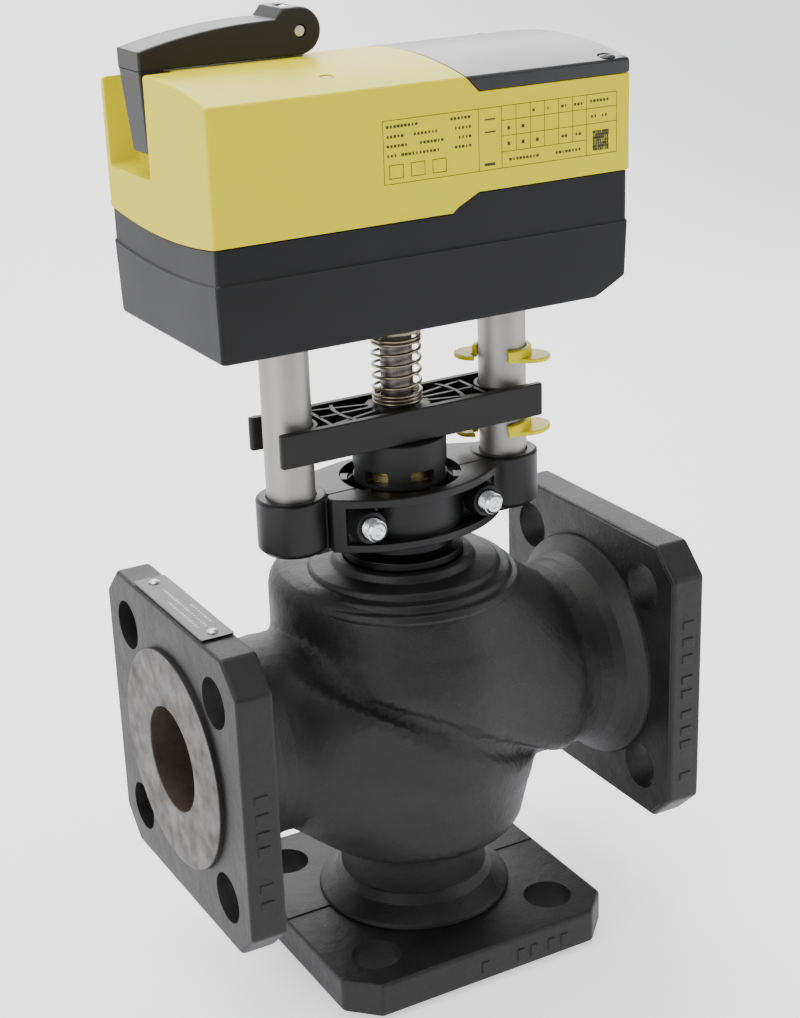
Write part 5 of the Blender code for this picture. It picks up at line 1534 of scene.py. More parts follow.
@dataclass
class Bonnet:
    """The turned bonnet between the casting and the bracket."""

    collar_radius: float = 22.9
    collar_low: float = 160.8
    collar_high: float = 163.8
    neck_radius: float = 18.9
    top: float = 181.9
    stem_bore: float = 5.6
    spigot_radius: float = 21.6
    gland_radius: float = 12.6
    gland_depth: float = 6.0

    def build(self) -> None:
        """Make and dress the bonnet."""
        low = heights("bonnet")[0]
        spigot, gland, floor = self.spigot_radius, self.gland_radius, self.top - self.gland_depth
        profile = [(self.stem_bore, low), (spigot, low), (spigot, self.collar_low)]
        profile += [(self.collar_radius, self.collar_low)]
        profile += [(self.collar_radius, self.collar_high), (20.2, self.collar_high + 0.8)]
        profile += [
            (self.neck_radius, self.collar_high + 2.0), (self.neck_radius, self.top), (gland, self.top)
        ]
        profile += [(gland, floor), (self.stem_bore, floor)]
        bonnet = Solid.lathe(profile, edge=0.35, steps=80)
        bonnet.dress("turned_bonnet", Body.FRAME, BONNET, ["bonnet"])


@dataclass
class RatingPlate:
    """The small plate on the left flange's top rim, with two drive rivets and plain printed rows."""

    edge: float = 0.9
    print_proud: float = 0.03

    def build(self, scatter: ScatterTree, dashes: DashTree) -> None:
        """Make and dress the plate, its rivets and its print.

        Args:
            scatter: The tree that places the rivets.
            dashes: The tree that lays the print.
        """
        low, high = extent("rating_plate")
        outline = filleted(rectangle(low[:2], high[:2]), self.edge, 3)
        sheet = Solid.prism(outline, low.z, high.z, edge=0.12)
        sheet.dress("plate_sheet", Body.FRAME, PLATE, ["rating_plate"])
        rivet = Solid.lathe(
            [(0, -0.5), (2.1, -0.5), (2.0, 0.35), (1.5, 0.75), (0.6, 0.95), (0, 0.98)], steps=28
        )
        middle_x = (low.x + high.x) / 2
        heads = []
        for node in ("plate_rivet_front", "plate_rivet_back"):
            box_low, box_high = extent(node)
            heads.append(((box_low.x + box_high.x) / 2, (box_low.y + box_high.y) / 2, high.z))
        rivets = scatter.place(rivet, heads, BRIGHT_STEEL)
        rivets.dress("plate_rivets", Body.FRAME, BRIGHT_STEEL, ["plate_rivet_front", "plate_rivet_back"])
        rows = []
        for row, (start, count) in enumerate(((-17.0, 9), (-20.0, 20), (-20.0, 14))):
            x = middle_x + 3.2 - row * 3.0
            rows += [(x, start + 2.0 * place, high.z + self.print_proud / 2) for place in range(count)]
        print_rows = dashes.apply(
            spots([(y, -x, z) for x, y, z in rows]), PRINT_WHITE,
            Length=1.7, Thickness=1.0, Height=self.print_proud, Shortest=0.35, Seed=4,
        )
        print_rows.move(Matrix.Rotation(math.pi / 2, 4, "Z"))
        print_rows.dress("plate_print", Body.FRAME, PRINT_WHITE, weighted=False)


# Bracket and pillars


@dataclass
class Bracket:
    """The two halves that clamp the bonnet, their bosses for the pillars, and the two clamp screws."""

    low: float = 171.3
    high: float = 191.8
    half_width: float = 35.5
    depth: float = 26.5
    bow: float = 14.0
    rim: float = 3.2
    web_y: float = 15.0
    seam_y: float = 6.0
    ring_radius: float = 23.5
    neck_radius: float = 19.3
    well_radius: float = 19.8
    well_floor: float = 182.0
    boss_radius: float = 13.1
    back_y: float = 21.5
    screw_x: float = 24.6
    screw_z: float = 181.8
    screw_radius: float = 4.0
    screw_tip_y: float = 27.0
    screw_boss: float = 6.6
    socket_floor: float = 179.0
    screw_hole: float = 3.4
    screw_head_room: float = 5.4
    window_half: float = 8.5
    hex_radius: float = 7.5
    hex_height: float = 5.3
    thread_length: float = 9.0
    thread_pitch: float = 1.1
    thread_depth: float = 0.42

    def front_arc(self, inset: float, steps: int = 28) -> list[Point2]:
        """The bowed front line, from left to right.

        Args:
            inset: How far inside the front face.
            steps: How many steps it takes.

        Returns:
            The points.
        """
        radius = (self.half_width**2 + self.bow**2) / (2 * self.bow)
        reach = math.asin(self.half_width / radius)
        centre = radius - self.depth
        radius -= inset
        angles = [reach * (2 * step / steps - 1) for step in range(steps + 1)]
        return [(radius * math.sin(a), centre - radius * math.cos(a)) for a in angles]

    def well_tools(self) -> list[Solid]:
        """What the sleeve's well, the bonnet and the clamp screws take away.

        Returns:
            The tools.
        """
        tools = [Solid.rod(self.neck_radius, self.low - OVERRUN, self.high + OVERRUN)]
        well = Solid.rod(self.well_radius, self.well_floor, self.high + OVERRUN)
        mouth = Solid.rod(self.well_radius + 3.0, self.high - 3.5, self.high + OVERRUN)
        lug = Solid.box((-30.0, -3.6, self.high - 6.0), (30.0, 3.6, self.high - 1.2), 0.6)
        mouth.cut(lug.move(Matrix.Rotation(math.radians(150), 4, "Z")))
        tools += [well, mouth]
        for side in (-1, 1):
            tools.append(
                Solid.rod(self.screw_radius + 0.4, -40.0, 40.0, Axis.Y, (side * self.screw_x, self.screw_z))
            )
        return tools

    def clamp(self) -> Solid:
        """The bowed front half, open to the front between its rims.

        Returns:
            The clamp.
        """
        seam = -self.seam_y - 0.3
        half = self.half_width
        outline = self.front_arc(0.0) + [(half, seam), (-half, seam)]
        outline = filleted(outline, [1.6] + [0.0] * (len(outline) - 4) + [1.6, 0.0, 0.0], 4)
        bar = Solid.prism(outline, self.low, self.high, edge=0.7)
        inner = [p for p in self.front_arc(-3.0) if abs(p[0]) < half - 3.4]
        ends = half - 3.4
        pocket = [
            (-ends, inner[0][1] + 0.5), *inner, (ends, inner[-1][1] + 0.5), (ends, -self.web_y),
            (-ends, -self.web_y),
        ]
        pocket_radii = [0.0] * (len(pocket) - 2) + [2.2, 2.2]
        pocket = filleted(pocket, pocket_radii, 4)
        bar.cut(Solid.prism(pocket, self.low + self.rim, self.high - self.rim, edge=0.0))
        extras = [Solid.rod(self.ring_radius, self.low + 0.4, self.high - 0.4)]
        for side in (-1, 1):
            spot = (side * self.screw_x, self.screw_z)
            boss = [(0.0, -self.web_y - 7.4), (self.screw_boss - 0.6, -self.web_y - 7.4)]
            boss += [(self.screw_boss, -self.web_y + 2.0), (0.0, -self.web_y + 2.0)]
            extras.append(Solid.lathe(boss, Axis.Y, spot, edge=0.5))
        bar.join(*extras)
        behind = Solid.box((-60.0, seam, self.low - OVERRUN), (60.0, 60.0, self.high + OVERRUN))
        rims = [
            Solid.rod(self.boss_radius + 0.3, self.low - 2, self.high + 2, centre=(side * PILLAR_X, 0.0))
            for side in (-1, 1)
        ]
        return bar.cut(behind, *rims, *self.well_tools()).bevel(0.35)

    def console(self) -> Solid:
        """The back half with a boss under each pillar.

        Returns:
            The console.
        """
        back, px, inner = self.back_y, PILLAR_X, self.half_width + 0.3
        outline = [
            (-px, 11.0), (-30.0, back - 3.0), (-12.0, back + 2.0), (12.0, back + 2.0), (30.0, back - 3.0)
        ]
        outline += [(px, 11.0), (px, -10.0), (inner, -10.0), (inner, -self.seam_y), (-inner, -self.seam_y)]
        outline += [(-inner, -10.0), (-px, -10.0)]
        console = Solid.prism(outline, self.low, self.high, edge=0.0)
        bosses = []
        for side in (-1, 1):
            profile = [
                (0.0, self.low), (self.boss_radius - 2.0, self.low), (self.boss_radius, self.low + 2.0)
            ]
            profile += [
                (self.boss_radius, self.high - 0.2), (self.boss_radius - 1.0, self.high + 0.6),
                (0.0, self.high + 0.6),
            ]
            bosses.append(Solid.lathe(profile, centre=(side * px, 0.0), edge=0.8))
        console.join(*bosses)
        tools = self.well_tools()
        for side in (-1, 1):
            centre = (side * px, 0.0)
            tools.append(Solid.rod(PILLAR_RADIUS + 0.25, self.socket_floor, self.high + 4.0, centre=centre))
            tools.append(
                Solid.rod(self.screw_hole, self.low - OVERRUN, self.socket_floor + 1.0, centre=centre)
            )
            tools.append(Solid.rod(self.screw_head_room, self.low - OVERRUN, self.low + 4.5, centre=centre))
            left, right = (side * self.screw_x + end * self.window_half for end in (-1, 1))
            corner = (left, back - self.window_half, self.low + self.rim)
            tools.append(Solid.box(corner, (right, back + 10.0, self.high - self.rim), 1.2))
        return console.cut(*tools).bevel(0.4)

    def clamp_screw(self, seat: float) -> Solid:
        """A hexagon screw along Y with its threaded tip at the front.

        Args:
            seat: Where its head starts.

        Returns:
            The screw, about the Y axis at the origin.
        """
        tip = -self.screw_tip_y
        r = self.screw_radius
        profile = [(0.0, tip + 0.35), (1.3, tip + 0.35), (1.6, tip), (r - 1.1, tip), (r - 0.45, tip + 0.7)]
        y = tip + 0.9
        root = r - self.thread_depth
        while y < tip + self.thread_length:
            profile += [(r, y), (r, y + 0.15), (root, y + 0.55), (root, y + 0.7)]
            y += self.thread_pitch
        profile += [(r - 0.1, y), (r - 0.1, seat + 0.5), (0.0, seat + 0.5)]
        shank = Solid.lathe(profile, Axis.Y, steps=32)
        head = Solid.prism(
            arc((0, 0), self.hex_radius, 0, 300, 5), seat, seat + self.hex_height, Axis.Y, 0.5
        )
        return shank.gather(head)

    def build(self, scatter: ScatterTree) -> None:
        """Make and dress the bracket and its screws.

        Args:
            scatter: The tree that places the screws.
        """
        self.clamp().dress("bracket_clamp", Body.FRAME, BRACKET, ["clamp_bar"])
        self.console().dress("bracket_console", Body.FRAME, BRACKET, ["console_bracket"])
        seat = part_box("clamp_screw_left")[1].y / MM - self.hex_height
        places = [(side * self.screw_x, 0.0, self.screw_z) for side in (-1, 1)]
        screws = scatter.place(self.clamp_screw(seat), places, ZINC)
        screws.dress("clamp_screws", Body.FRAME, ZINC, ["clamp_screw_left", "clamp_screw_right"])


@dataclass
class Pillars:
    """The two round pillars and the screws that hold them from below."""

    edge: float = 0.7
    tap_depth: float = 19.0

    def build(self, scatter: ScatterTree) -> None:
        """Make and dress the pillars.

        Args:
            scatter: The tree that places the screws.
        """
        low, high = heights("pillar_left")
        for side, word in ((-1, "left"), (1, "right")):
            centre = (side * PILLAR_X, 0.0)
            profile = [(3.4, low), (PILLAR_RADIUS, low), (PILLAR_RADIUS, high), (3.4, high)]
            core = Solid.rod(3.5, low + self.tap_depth, high - self.tap_depth, centre=centre)
            bar = Solid.lathe(profile, centre=centre, steps=72, edge=self.edge).gather(core)
            bar.dress(f"round_pillar_{word}", Body.FRAME, PILLAR, [f"pillar_{word}"])
        low, high = heights("lower_pillar_screw_left")
        head = Solid.lathe(
            [(0, low), (5.0, low), (5.0, low + 3.6), (3.0, low + 3.6), (3.0, high), (0, high)], edge=0.4
        )
        head.cut(Solid.prism(arc((0, 0), 2.3, 0, 300, 5), low - OVERRUN, low + 2.0))
        places = [(side * PILLAR_X, 0.0, 0.0) for side in (-1, 1)]
        screws = scatter.place(head, places, ZINC)
        screws.dress(
            "pillar_screws", Body.FRAME, ZINC, ["lower_pillar_screw_left", "lower_pillar_screw_right"]
        )


# Spindle group


@dataclass
class Coupling:
    """The sleeve with its brass jaws, the sliding crosspiece, and the spring over the spindle."""

    sleeve_radius: float = 17.6
    sleeve_bore: float = 14.0
    sleeve_low: float = 190.2
    window_low: float = 2.0
    window_height: float = 4.8
    window_width: float = 9.8
    cross_low: float = 207.5
    cross_high: float = 220.0
    bar_length: float = 109.5
    bar_outer: float = 14.2
    bar_thickness: float = 3.4
    plate_half: float = 44.0
    hub_radius: float = 12.5
    ring_radius: float = 25.5
    rib: float = 1.6
    pillar_room: float = 9.4
    spindle_radius: float = 6.0
    coil_radius: float = 8.8
    wire: float = 1.25
    bottom_turns: float = 3.0
    open_turns: float = 4.5
    top_turns: float = 2.0
    closed_pitch: float = 1.38
    jaw_bore: float = 3.9
    jaw_radius: float = 13.6
    thread_low: float = 262.0
    thread_pitch: float = 2.0

    def sleeve(self) -> Solid:
        """The black sleeve, with six windows that show the jaws.

        Returns:
            The sleeve.
        """
        low, high = self.sleeve_low, self.cross_low - 0.3
        roof = high - 4.5
        hole = self.spindle_radius + 0.3
        outer, bore = self.sleeve_radius, self.sleeve_bore
        profile = [(bore, low), (outer, low), (outer, high), (hole, high), (hole, roof), (bore, roof)]
        sleeve = Solid.lathe(profile, steps=72, edge=0.4)
        bars = []
        for index in range(3):
            width, base = self.window_width / 2, low + self.window_low
            bar = Solid.box((-30.0, -width, base), (30.0, width, base + self.window_height), 0.8)
            bars.append(bar.move(Matrix.Rotation(math.radians(30 + 60 * index), 4, "Z")))
        return sleeve.cut(*bars)

    def jaws(self) -> tuple[Solid, Solid]:
        """The front and back halves of the brass ring.

        Returns:
            The front half and the back half.
        """
        base = self.sleeve_low + self.window_low
        halves = []
        for side in (-1, 1):
            bore, outer = self.jaw_bore, self.jaw_radius
            profile = [(bore, base), (outer, base), (outer, base + 2.4), (outer - 0.6, base + 2.9)]
            profile += [(outer, base + 3.4), (outer, base + 6.2), (bore, base + 6.2)]
            ring = Solid.lathe(profile, steps=64)
            near, far = sorted((side * 0.3, side * 20.0))
            halves.append(ring.keep(Solid.box((-20.0, near, base - 1), (20.0, far, base + 8))))
        return halves[0], halves[1]

    def rib_between(self, start: Point2, end: Point2, low: float, high: float) -> Solid:
        """A straight rib with a rounded top edge.

        Args:
            start: Where it starts, across the stem.
            end: Where it ends.
            low: Its foot.
            high: Its top.

        Returns:
            The rib.
        """
        run = Vector(end) - Vector(start)
        side = Vector((-run.y, run.x)).normalized() * (self.rib / 2)
        a, b = Vector(start), Vector(end)
        outline = [tuple(a - side), tuple(b - side), tuple(b + side), tuple(a + side)]
        return Solid.prism(outline, low, high)

    def crosspiece(self) -> Solid:
        """The ribbed bar that slides between the pillars.

        Returns:
            The crosspiece.
        """
        low, high = self.cross_low, self.cross_high
        outer, inner, half = self.bar_outer, self.bar_outer - self.bar_thickness, self.bar_length / 2
        floor = low + 8.0
        plate = Solid.box(
            (-self.plate_half, -inner - 1.0, low + 4.0), (self.plate_half, inner + 1.0, floor)
        )
        pieces = []
        for side in (-1, 1):
            near, far = sorted((side * inner, side * outer))
            outline = filleted(rectangle((-half, near), (half, far)), 1.3, 4)
            pieces.append(Solid.prism(outline, low, high, edge=0.6))
        top = high - 0.6
        inner_ring = self.ring_radius - self.rib
        profile = [
            (inner_ring, floor - 1), (self.ring_radius, floor - 1), (self.ring_radius, top),
            (inner_ring, top),
        ]
        ring = Solid.lathe(profile, steps=72)
        pieces.append(ring.keep(Solid.box((-40.0, -inner - 0.5, low), (40.0, inner + 0.5, high))))
        pieces.append(Solid.rod(self.hub_radius, low + 0.3, high - 1.2, edge=0.8))
        guide = PILLAR_X - self.pillar_room - 3.6
        start = self.hub_radius - 2.0
        ribs = [((0.0, -inner - 0.5), (0.0, inner + 0.5))]
        for side in (-1, 1):
            ribs.append(((side * start, 0.0), (side * guide, 0.0)))
            ribs.append(((side * guide, -inner - 0.5), (side * guide, inner + 0.5)))
            for level in (-1, 1):
                ribs.append(((side * start, level * 4.0), (side * (guide - 0.2), level * (inner - 1.0))))
        for index, (begin, end) in enumerate(ribs):
            drop = (index + 1) * 0.04
            pieces.append(self.rib_between(begin, end, floor - 1.0 - drop, top - drop))
        for side in (-1, 1):
            room = self.pillar_room
            collar = [
                (room - 1.0, floor - 1.3), (room + 1.5, floor - 1.3), (room + 1.5, top - 0.5),
                (room - 1.0, top - 0.5),
            ]
            cup = Solid.lathe(collar, centre=(side * PILLAR_X, 0.0), steps=56)
            near, far = sorted((side * (guide - 4.0), side * PILLAR_X))
            pieces.append(cup.keep(Solid.box((near, -inner - 0.4, low), (far, inner + 0.4, high))))
        plate.join(*pieces)
        tools = [Solid.rod(self.spindle_radius + 0.3, low - OVERRUN, high + OVERRUN)]
        for side in (-1, 1):
            tools.append(
                Solid.rod(self.pillar_room, low - OVERRUN, high + OVERRUN, centre=(side * PILLAR_X, 0.0))
            )
        return plate.cut(*tools).bevel(0.22, 2, 50.0)

    def coil(self, wire: WireTree) -> Solid:
        """The coupling spring, closed at both ends.

        Args:
            wire: The tree that sweeps the wire.

        Returns:
            The spring.
        """
        low, high = heights("coupling_spring")
        low, high = low + self.wire / 2, high - self.wire / 2
        turns = self.bottom_turns + self.open_turns + self.top_turns
        closed = (self.bottom_turns + self.top_turns) * self.closed_pitch
        pitch = (high - low - closed) / self.open_turns
        points = []
        per_turn = 36
        for step in range(round(turns * per_turn) + 1):
            turn = step / per_turn
            start = min(turn, self.bottom_turns) * self.closed_pitch
            middle = min(max(turn - self.bottom_turns, 0.0), self.open_turns) * pitch
            end = max(turn - self.bottom_turns - self.open_turns, 0.0) * self.closed_pitch
            angle = math.tau * turn
            x, y = self.coil_radius * math.cos(angle), self.coil_radius * math.sin(angle)
            points.append((x, y, low + start + middle + end))
        return wire.apply(polyline(points), SPRING_WIRE, Wire_Radius=self.wire / 2, Sides=12)

    def build(self, wire: WireTree) -> None:
        """Make and dress everything that rides on the spindle.

        Args:
            wire: The tree that sweeps the spring's wire.
        """
        self.sleeve().dress("windowed_sleeve", Body.LIFT, COUPLING, ["coupling_sleeve"])
        front, back = self.jaws()
        front.dress("brass_jaw_front", Body.LIFT, BRASS, ["coupling_jaw_front"])
        back.dress("brass_jaw_back", Body.LIFT, BRASS, ["coupling_jaw_back"])
        self.crosspiece().dress("ribbed_crosspiece", Body.LIFT, COUPLING, ["crosspiece"])
        self.coil(wire).dress(
            "spring_coil", Body.LIFT, SPRING_WIRE, ["coupling_spring"], sharp=60, weighted=False
        )
        low, high = extent("drive_spindle")
        radius = self.spindle_radius
        profile = [(0.0, low.z), (radius, low.z), (radius, self.thread_low)]
        z = self.thread_low
        while z < high.z - 4:
            profile += [(radius - 0.5, z + 0.7), (radius, z + 1.6), (radius, z + self.thread_pitch)]
            z += self.thread_pitch
        profile += [(radius, high.z), (0.0, high.z)]
        spindle = Solid.lathe(profile, steps=48)
        spindle.dress("threaded_spindle", Body.LIFT, GROUND_STEEL, ["drive_spindle"])
        low, high = extent("spring_washer")
        ring = [(radius + 0.3, low.z), (high.x, low.z), (high.x, high.z), (radius + 0.3, high.z)]
        washer = Solid.lathe(ring, steps=64, edge=0.35)
        washer.dress("top_washer", Body.LIFT, SPRING_WIRE, ["spring_washer"])


@dataclass
class StrokeClip:
    """A split yellow collar with two wings that marks one end of the stroke on the right pillar."""

    node: str
    body: Body
    bottom: float
    lean: float = 0.0
    collar_radius: float = 11.2
    collar_height: float = 5.0
    reach: float = 18.5
    width: float = 15.0
    thickness: float = 1.7
    bore: float = 9.35
    mouth: Point2 = (193.0, 296.0)
    turn: float = -45.0

    def build(self) -> None:
        """Make and dress the clip."""
        half = self.width / 2
        outline = arc((self.reach - half, 0.0), half, -90, 90, 16)
        outline += arc((half - self.reach, 0.0), half, 90, 270, 16)
        wings = Solid.prism(outline, 0.0, self.thickness, edge=0.5)
        top = self.collar_height
        collar = Solid.lathe(
            [(0, 0.2), (self.collar_radius, 0.2), (self.collar_radius, top - 0.4), (10.4, top), (0, top)],
            steps=56,
        )
        wings.join(collar)
        bore = Solid.rod(self.bore, -3.0, top + 3.0)
        mouth = [*arc((0.0, 0.0), self.collar_radius + 0.3, *self.mouth, 16), (0.0, 0.0)]
        wings.cut(bore, Solid.prism(mouth, -2.0, top + 2.0)).bevel(0.25, 2, 45.0)
        lean = Matrix.Rotation(math.radians(self.lean), 4, "Y")
        turn = Matrix.Rotation(math.radians(self.turn), 4, "Z")
        wings.move(Matrix.Translation((PILLAR_X, 0.0, self.bottom)) @ lean @ turn)
        wings.dress(f"{self.body.value}_ring", self.body, CLIP, [self.node])


# Actuator head


@dataclass
class Head:
    """The actuator's head: black base, yellow housing, dark terminal cover, and their small parts."""

    left: float = -88.5
    right: float = 71.5
    half: float = 44.0
    low: float = 258.4
    ridge: float = 284.7
    ridge_dip: float = 2.7
    split: float = 298.5
    split_step: float = 4.2
    split_step_x: float = 1.4
    split_step_run: float = 8.3
    split_dip: float = 5.0
    top: float = 341.0
    crown: float = 5.0
    taper: float = 0.8
    edge: float = 1.1
    wall: float = 2.6
    cover_z: float = 336.2
    cover_x: float = 5.7
    cover_screw: Point2 = (64.0, 40.0)
    slot: tuple[float, float, float, float] = (4.6, 40.0, 12.0, 311.5)
    crank_spot: Point2 = (-28.5, 17.5)
    status_spot: Point2 = (-37.6, -27.7)
    legs: Point2 = (66.0, 34.0)
    entry: Point2 = (22.0, 293.0)
    entry_hole: float = 6.3
    spindle_hole: float = 13.5
    leg_hole: float = 3.3
    shaft_hole: float = 5.4
    light_hole: float = 2.3
    tool_low: float = 330.0
    cover_screw_hole: float = 1.9
    cover_screw_room: float = 3.1
    cover_screw_sink: float = 1.8
    slot_bar: Point2 = (1.9, 0.35)
    label: tuple[float, float, float, float] = (-26.6, 309.5, 65.8, 330.4)
    label_line: float = 0.22
    label_columns: Point3 = (9.7, 18.7, 53.0)
    label_rows: Point3 = (325.4, 320.2, 314.9)
    label_cell: float = 5.72
    label_boxes: Point3 = (-24.6, -16.4, -8.2)
    print_proud: float = 0.03

    def section(
        self, low: float, dip: float, top: float, crown: float, inset: float, edge: float = 0.0
    ) -> list[Point2]:
        """A cross-section of the head with arched lower and upper lines, as (y, z) points.

        Args:
            low: The lower line's height at the sides.
            dip: How much lower it is in the middle.
            top: The upper line's height at the sides.
            crown: How much higher it is in the middle.
            inset: How far the sides are moved in.
            edge: The radius of the upper corners.

        Returns:
            The outline.
        """
        half = self.half - inset
        steps = 24
        places = [half * (2 * step / steps - 1) for step in range(steps + 1)]
        lower = [(y, low - dip * (1 - (y / half) ** 2)) for y in places]
        upper = [(y, top + crown * (1 - (y / half) ** 2)) for y in places[::-1]]
        outline = lower + upper
        radii = [0.0] * len(outline)
        radii[len(lower)] = radii[-1] = edge
        return filleted(outline, radii, 4) if edge else outline

    def block(
        self, low: float, dip: float, top: float, crown: float, inset: float, edge: float = 0.0
    ) -> Solid:
        """A block of the head's plan."""
        outline = self.section(low, dip, top, crown, inset, edge * EASE)
        return Solid.prism(outline, self.left + inset, self.right - inset, Axis.X, edge)

    def above_split(self, gap: float) -> Solid:
        """The space above the line where the two housings meet.

        Args:
            gap: How far the line is lowered.

        Returns:
            The space.
        """
        region = self.block(self.split - gap, self.split_dip, self.top + 50.0, 0.0, -10.0)
        region_low = self.split - self.split_dip - 12.0
        start, end = self.split_step_x, self.split_step_x + self.split_step_run
        raised = self.split + self.split_step - gap
        outline = [
            (start - 20.0, region_low), (start, self.split - gap), (end, raised), (200.0, raised),
            (200.0, region_low),
        ]
        return region.cut(Solid.prism(outline, -BEYOND, BEYOND, Axis.Y))

    def chamfer(self, inset: float) -> Solid:
        """The wedge missing from the base's lower right edge.

        Args:
            inset: How far inside the base.

        Returns:
            The wedge.
        """
        right, low = self.right - inset, self.low + inset
        outline = [
            (right - 13.7 - 1.37, low - 0.73), (right + 10.0, low + 7.3 + 5.33), (right + 10.0, low - 5.0)
        ]
        return Solid.prism(outline, -BEYOND, BEYOND, Axis.Y)

    def plan_ring(self, inset: float, height: float, dip: float) -> list[Point3]:
        """The head's rounded plan at one height, dipping in the middle of the end faces.

        Args:
            inset: How far inside the plan.
            height: The height at the long sides.
            dip: How much lower the ends' middles are.

        Returns:
            The ring.
        """
        left, right, half = self.left + inset, self.right - inset, self.half - inset
        steps = 16
        rise = [half * (2 * step / steps - 1) for step in range(1, steps)]
        corners = [(left, -half), (right, -half)] + [(right, y) for y in rise]
        corners += [(right, half), (left, half)] + [(left, y) for y in rise[::-1]]
        radii = [1.5, 1.5] + [0.0] * len(rise) + [1.5, 1.5] + [0.0] * len(rise)
        outline = filleted(corners, radii, 4)
        return [(x, y, height - dip * (1 - min(1.0, (y / half) ** 2))) for x, y in outline]

    def base(self) -> Solid:
        """The black base: tapered below a small ledge, hollow, open where the spindle passes.

        Returns:
            The base.
        """
        levels = [(self.taper + 0.8, self.low, 0.0), (self.taper + 0.25, self.low + 0.3, 0.0)]
        levels += [(self.taper - 0.05, self.low + 1.2, 0.0), (0.12, self.ridge - 0.6, self.ridge_dip)]
        levels += [(0.0, self.ridge - 0.15, self.ridge_dip), (0.12, self.ridge + 0.1, self.ridge_dip)]
        levels += [
            (0.55, self.ridge + 0.5, self.ridge_dip), (0.55, self.split + self.split_step + 3.0, 0.0)
        ]
        base = Solid.loft([self.plan_ring(*level) for level in levels])
        base.cut(self.above_split(0.35), self.chamfer(0.0))
        floor = self.low + self.wall
        hollow_levels = [
            (self.taper + self.wall, floor), (self.wall, self.ridge), (self.wall, self.split + 30.0)
        ]
        hollow = Solid.loft([self.plan_ring(inset, height, 0.0) for inset, height in hollow_levels])
        hollow.cut(self.chamfer(self.wall))
        base.cut(hollow)
        middle = (self.left + self.right) / 2
        tools = [Solid.rod(self.spindle_hole, self.low - OVERRUN, floor + OVERRUN)]
        for side in (-1, 1):
            tools.append(
                Solid.rod(
                    PILLAR_RADIUS + 0.3, self.low - OVERRUN, floor + OVERRUN, centre=(side * PILLAR_X, 0.0)
                )
            )
            tools.append(
                Solid.rod(
                    self.entry_hole, self.right - 10, self.right + 10, Axis.X,
                    (side * self.entry[0], self.entry[1]),
                )
            )
            for end in (-1, 1):
                spot = (middle + end * self.legs[0], side * self.legs[1])
                tools.append(Solid.rod(self.leg_hole, self.low - OVERRUN, self.low + 2.4, centre=spot))
        return base.cut(*tools).bevel(0.25, 2, 50.0)

    def cover_space(self, gap: float) -> Solid:
        """The space of the terminal cover, with its slanted left edge.

        Args:
            gap: How much larger than the cover.

        Returns:
            The space.
        """
        low, top = self.cover_z - gap, self.top + self.crown + 10.0
        slope_end = self.cover_x + (self.top - self.cover_z) - gap
        outline = [(self.cover_x - gap, top), (self.cover_x - gap, self.top), (slope_end, low)]
        outline += [(self.right + 10.0, low), (self.right + 10.0, top)]
        return Solid.prism(outline, -self.half - 10.0, self.half + 10.0, Axis.Y)

    def housing(self) -> Solid:
        """The yellow housing: an arched shell with a slot for the crank's grip.

        Returns:
            The housing.
        """
        shell = self.block(self.split - 30.0, 0.0, self.top, self.crown, 0.0, self.edge)
        shell.keep(self.above_split(0.0))
        shell.cut(self.cover_space(0.25))
        near, far, depth, floor = self.slot
        inner = self.block(self.split - 40.0, 0.0, self.top - self.wall, self.crown, self.wall)
        roof = self.cover_z - 0.3 - self.wall
        inner.cut(Solid.box((self.cover_x - self.wall, -BEYOND, roof), (BEYOND, BEYOND, SKY)))
        inner.cut(
            Solid.box(
                (self.left - 10.0, near - self.wall, floor - self.wall),
                (self.left + depth + self.wall, self.half, SKY),
            )
        )
        shell.cut(inner)
        slot = Solid.box((self.left - 10.0, near, floor), (self.left + depth, far, SKY), 1.2)
        tools = [slot, Solid.rod(self.shaft_hole, self.tool_low, SKY, centre=self.crank_spot)]
        tools.append(Solid.rod(self.light_hole, self.tool_low, SKY, centre=self.status_spot))
        for side in (-1, 1):
            tools.append(
                Solid.rod(
                    self.cover_screw_hole, roof - 1, SKY,
                    centre=(self.cover_screw[0], side * self.cover_screw[1]),
                )
            )
        tools.append(Solid.box((self.cover_x + 10, -34.0, roof - 1), (self.right - 10, 34.0, SKY)))
        return shell.cut(*tools).bevel(0.3, 2, 50.0)

    def cover(self) -> Solid:
        """The dark cover over the terminals.

        Returns:
            The cover.
        """
        cover = self.block(self.cover_z, 0.0, self.top, self.crown, 0.0, self.edge)
        cover.keep(self.cover_space(0.0))
        hollow = self.block(self.cover_z - 10.0, 0.0, self.top - self.wall, self.crown, self.wall)
        cover.cut(hollow.keep(Solid.box((15.7, -36.0, 300.0), (60.0, 36.0, SKY))))
        tools = []
        seat = heights("cover_screw_front")[1] - self.cover_screw_sink
        for side in (-1, 1):
            spot = (self.cover_screw[0], side * self.cover_screw[1])
            tools.append(Solid.rod(self.cover_screw_room, seat - 0.1, SKY, centre=spot))
            tools.append(Solid.rod(self.cover_screw_hole, self.tool_low, SKY, centre=spot))
        return cover.cut(*tools).bevel(0.3, 2, 50.0)

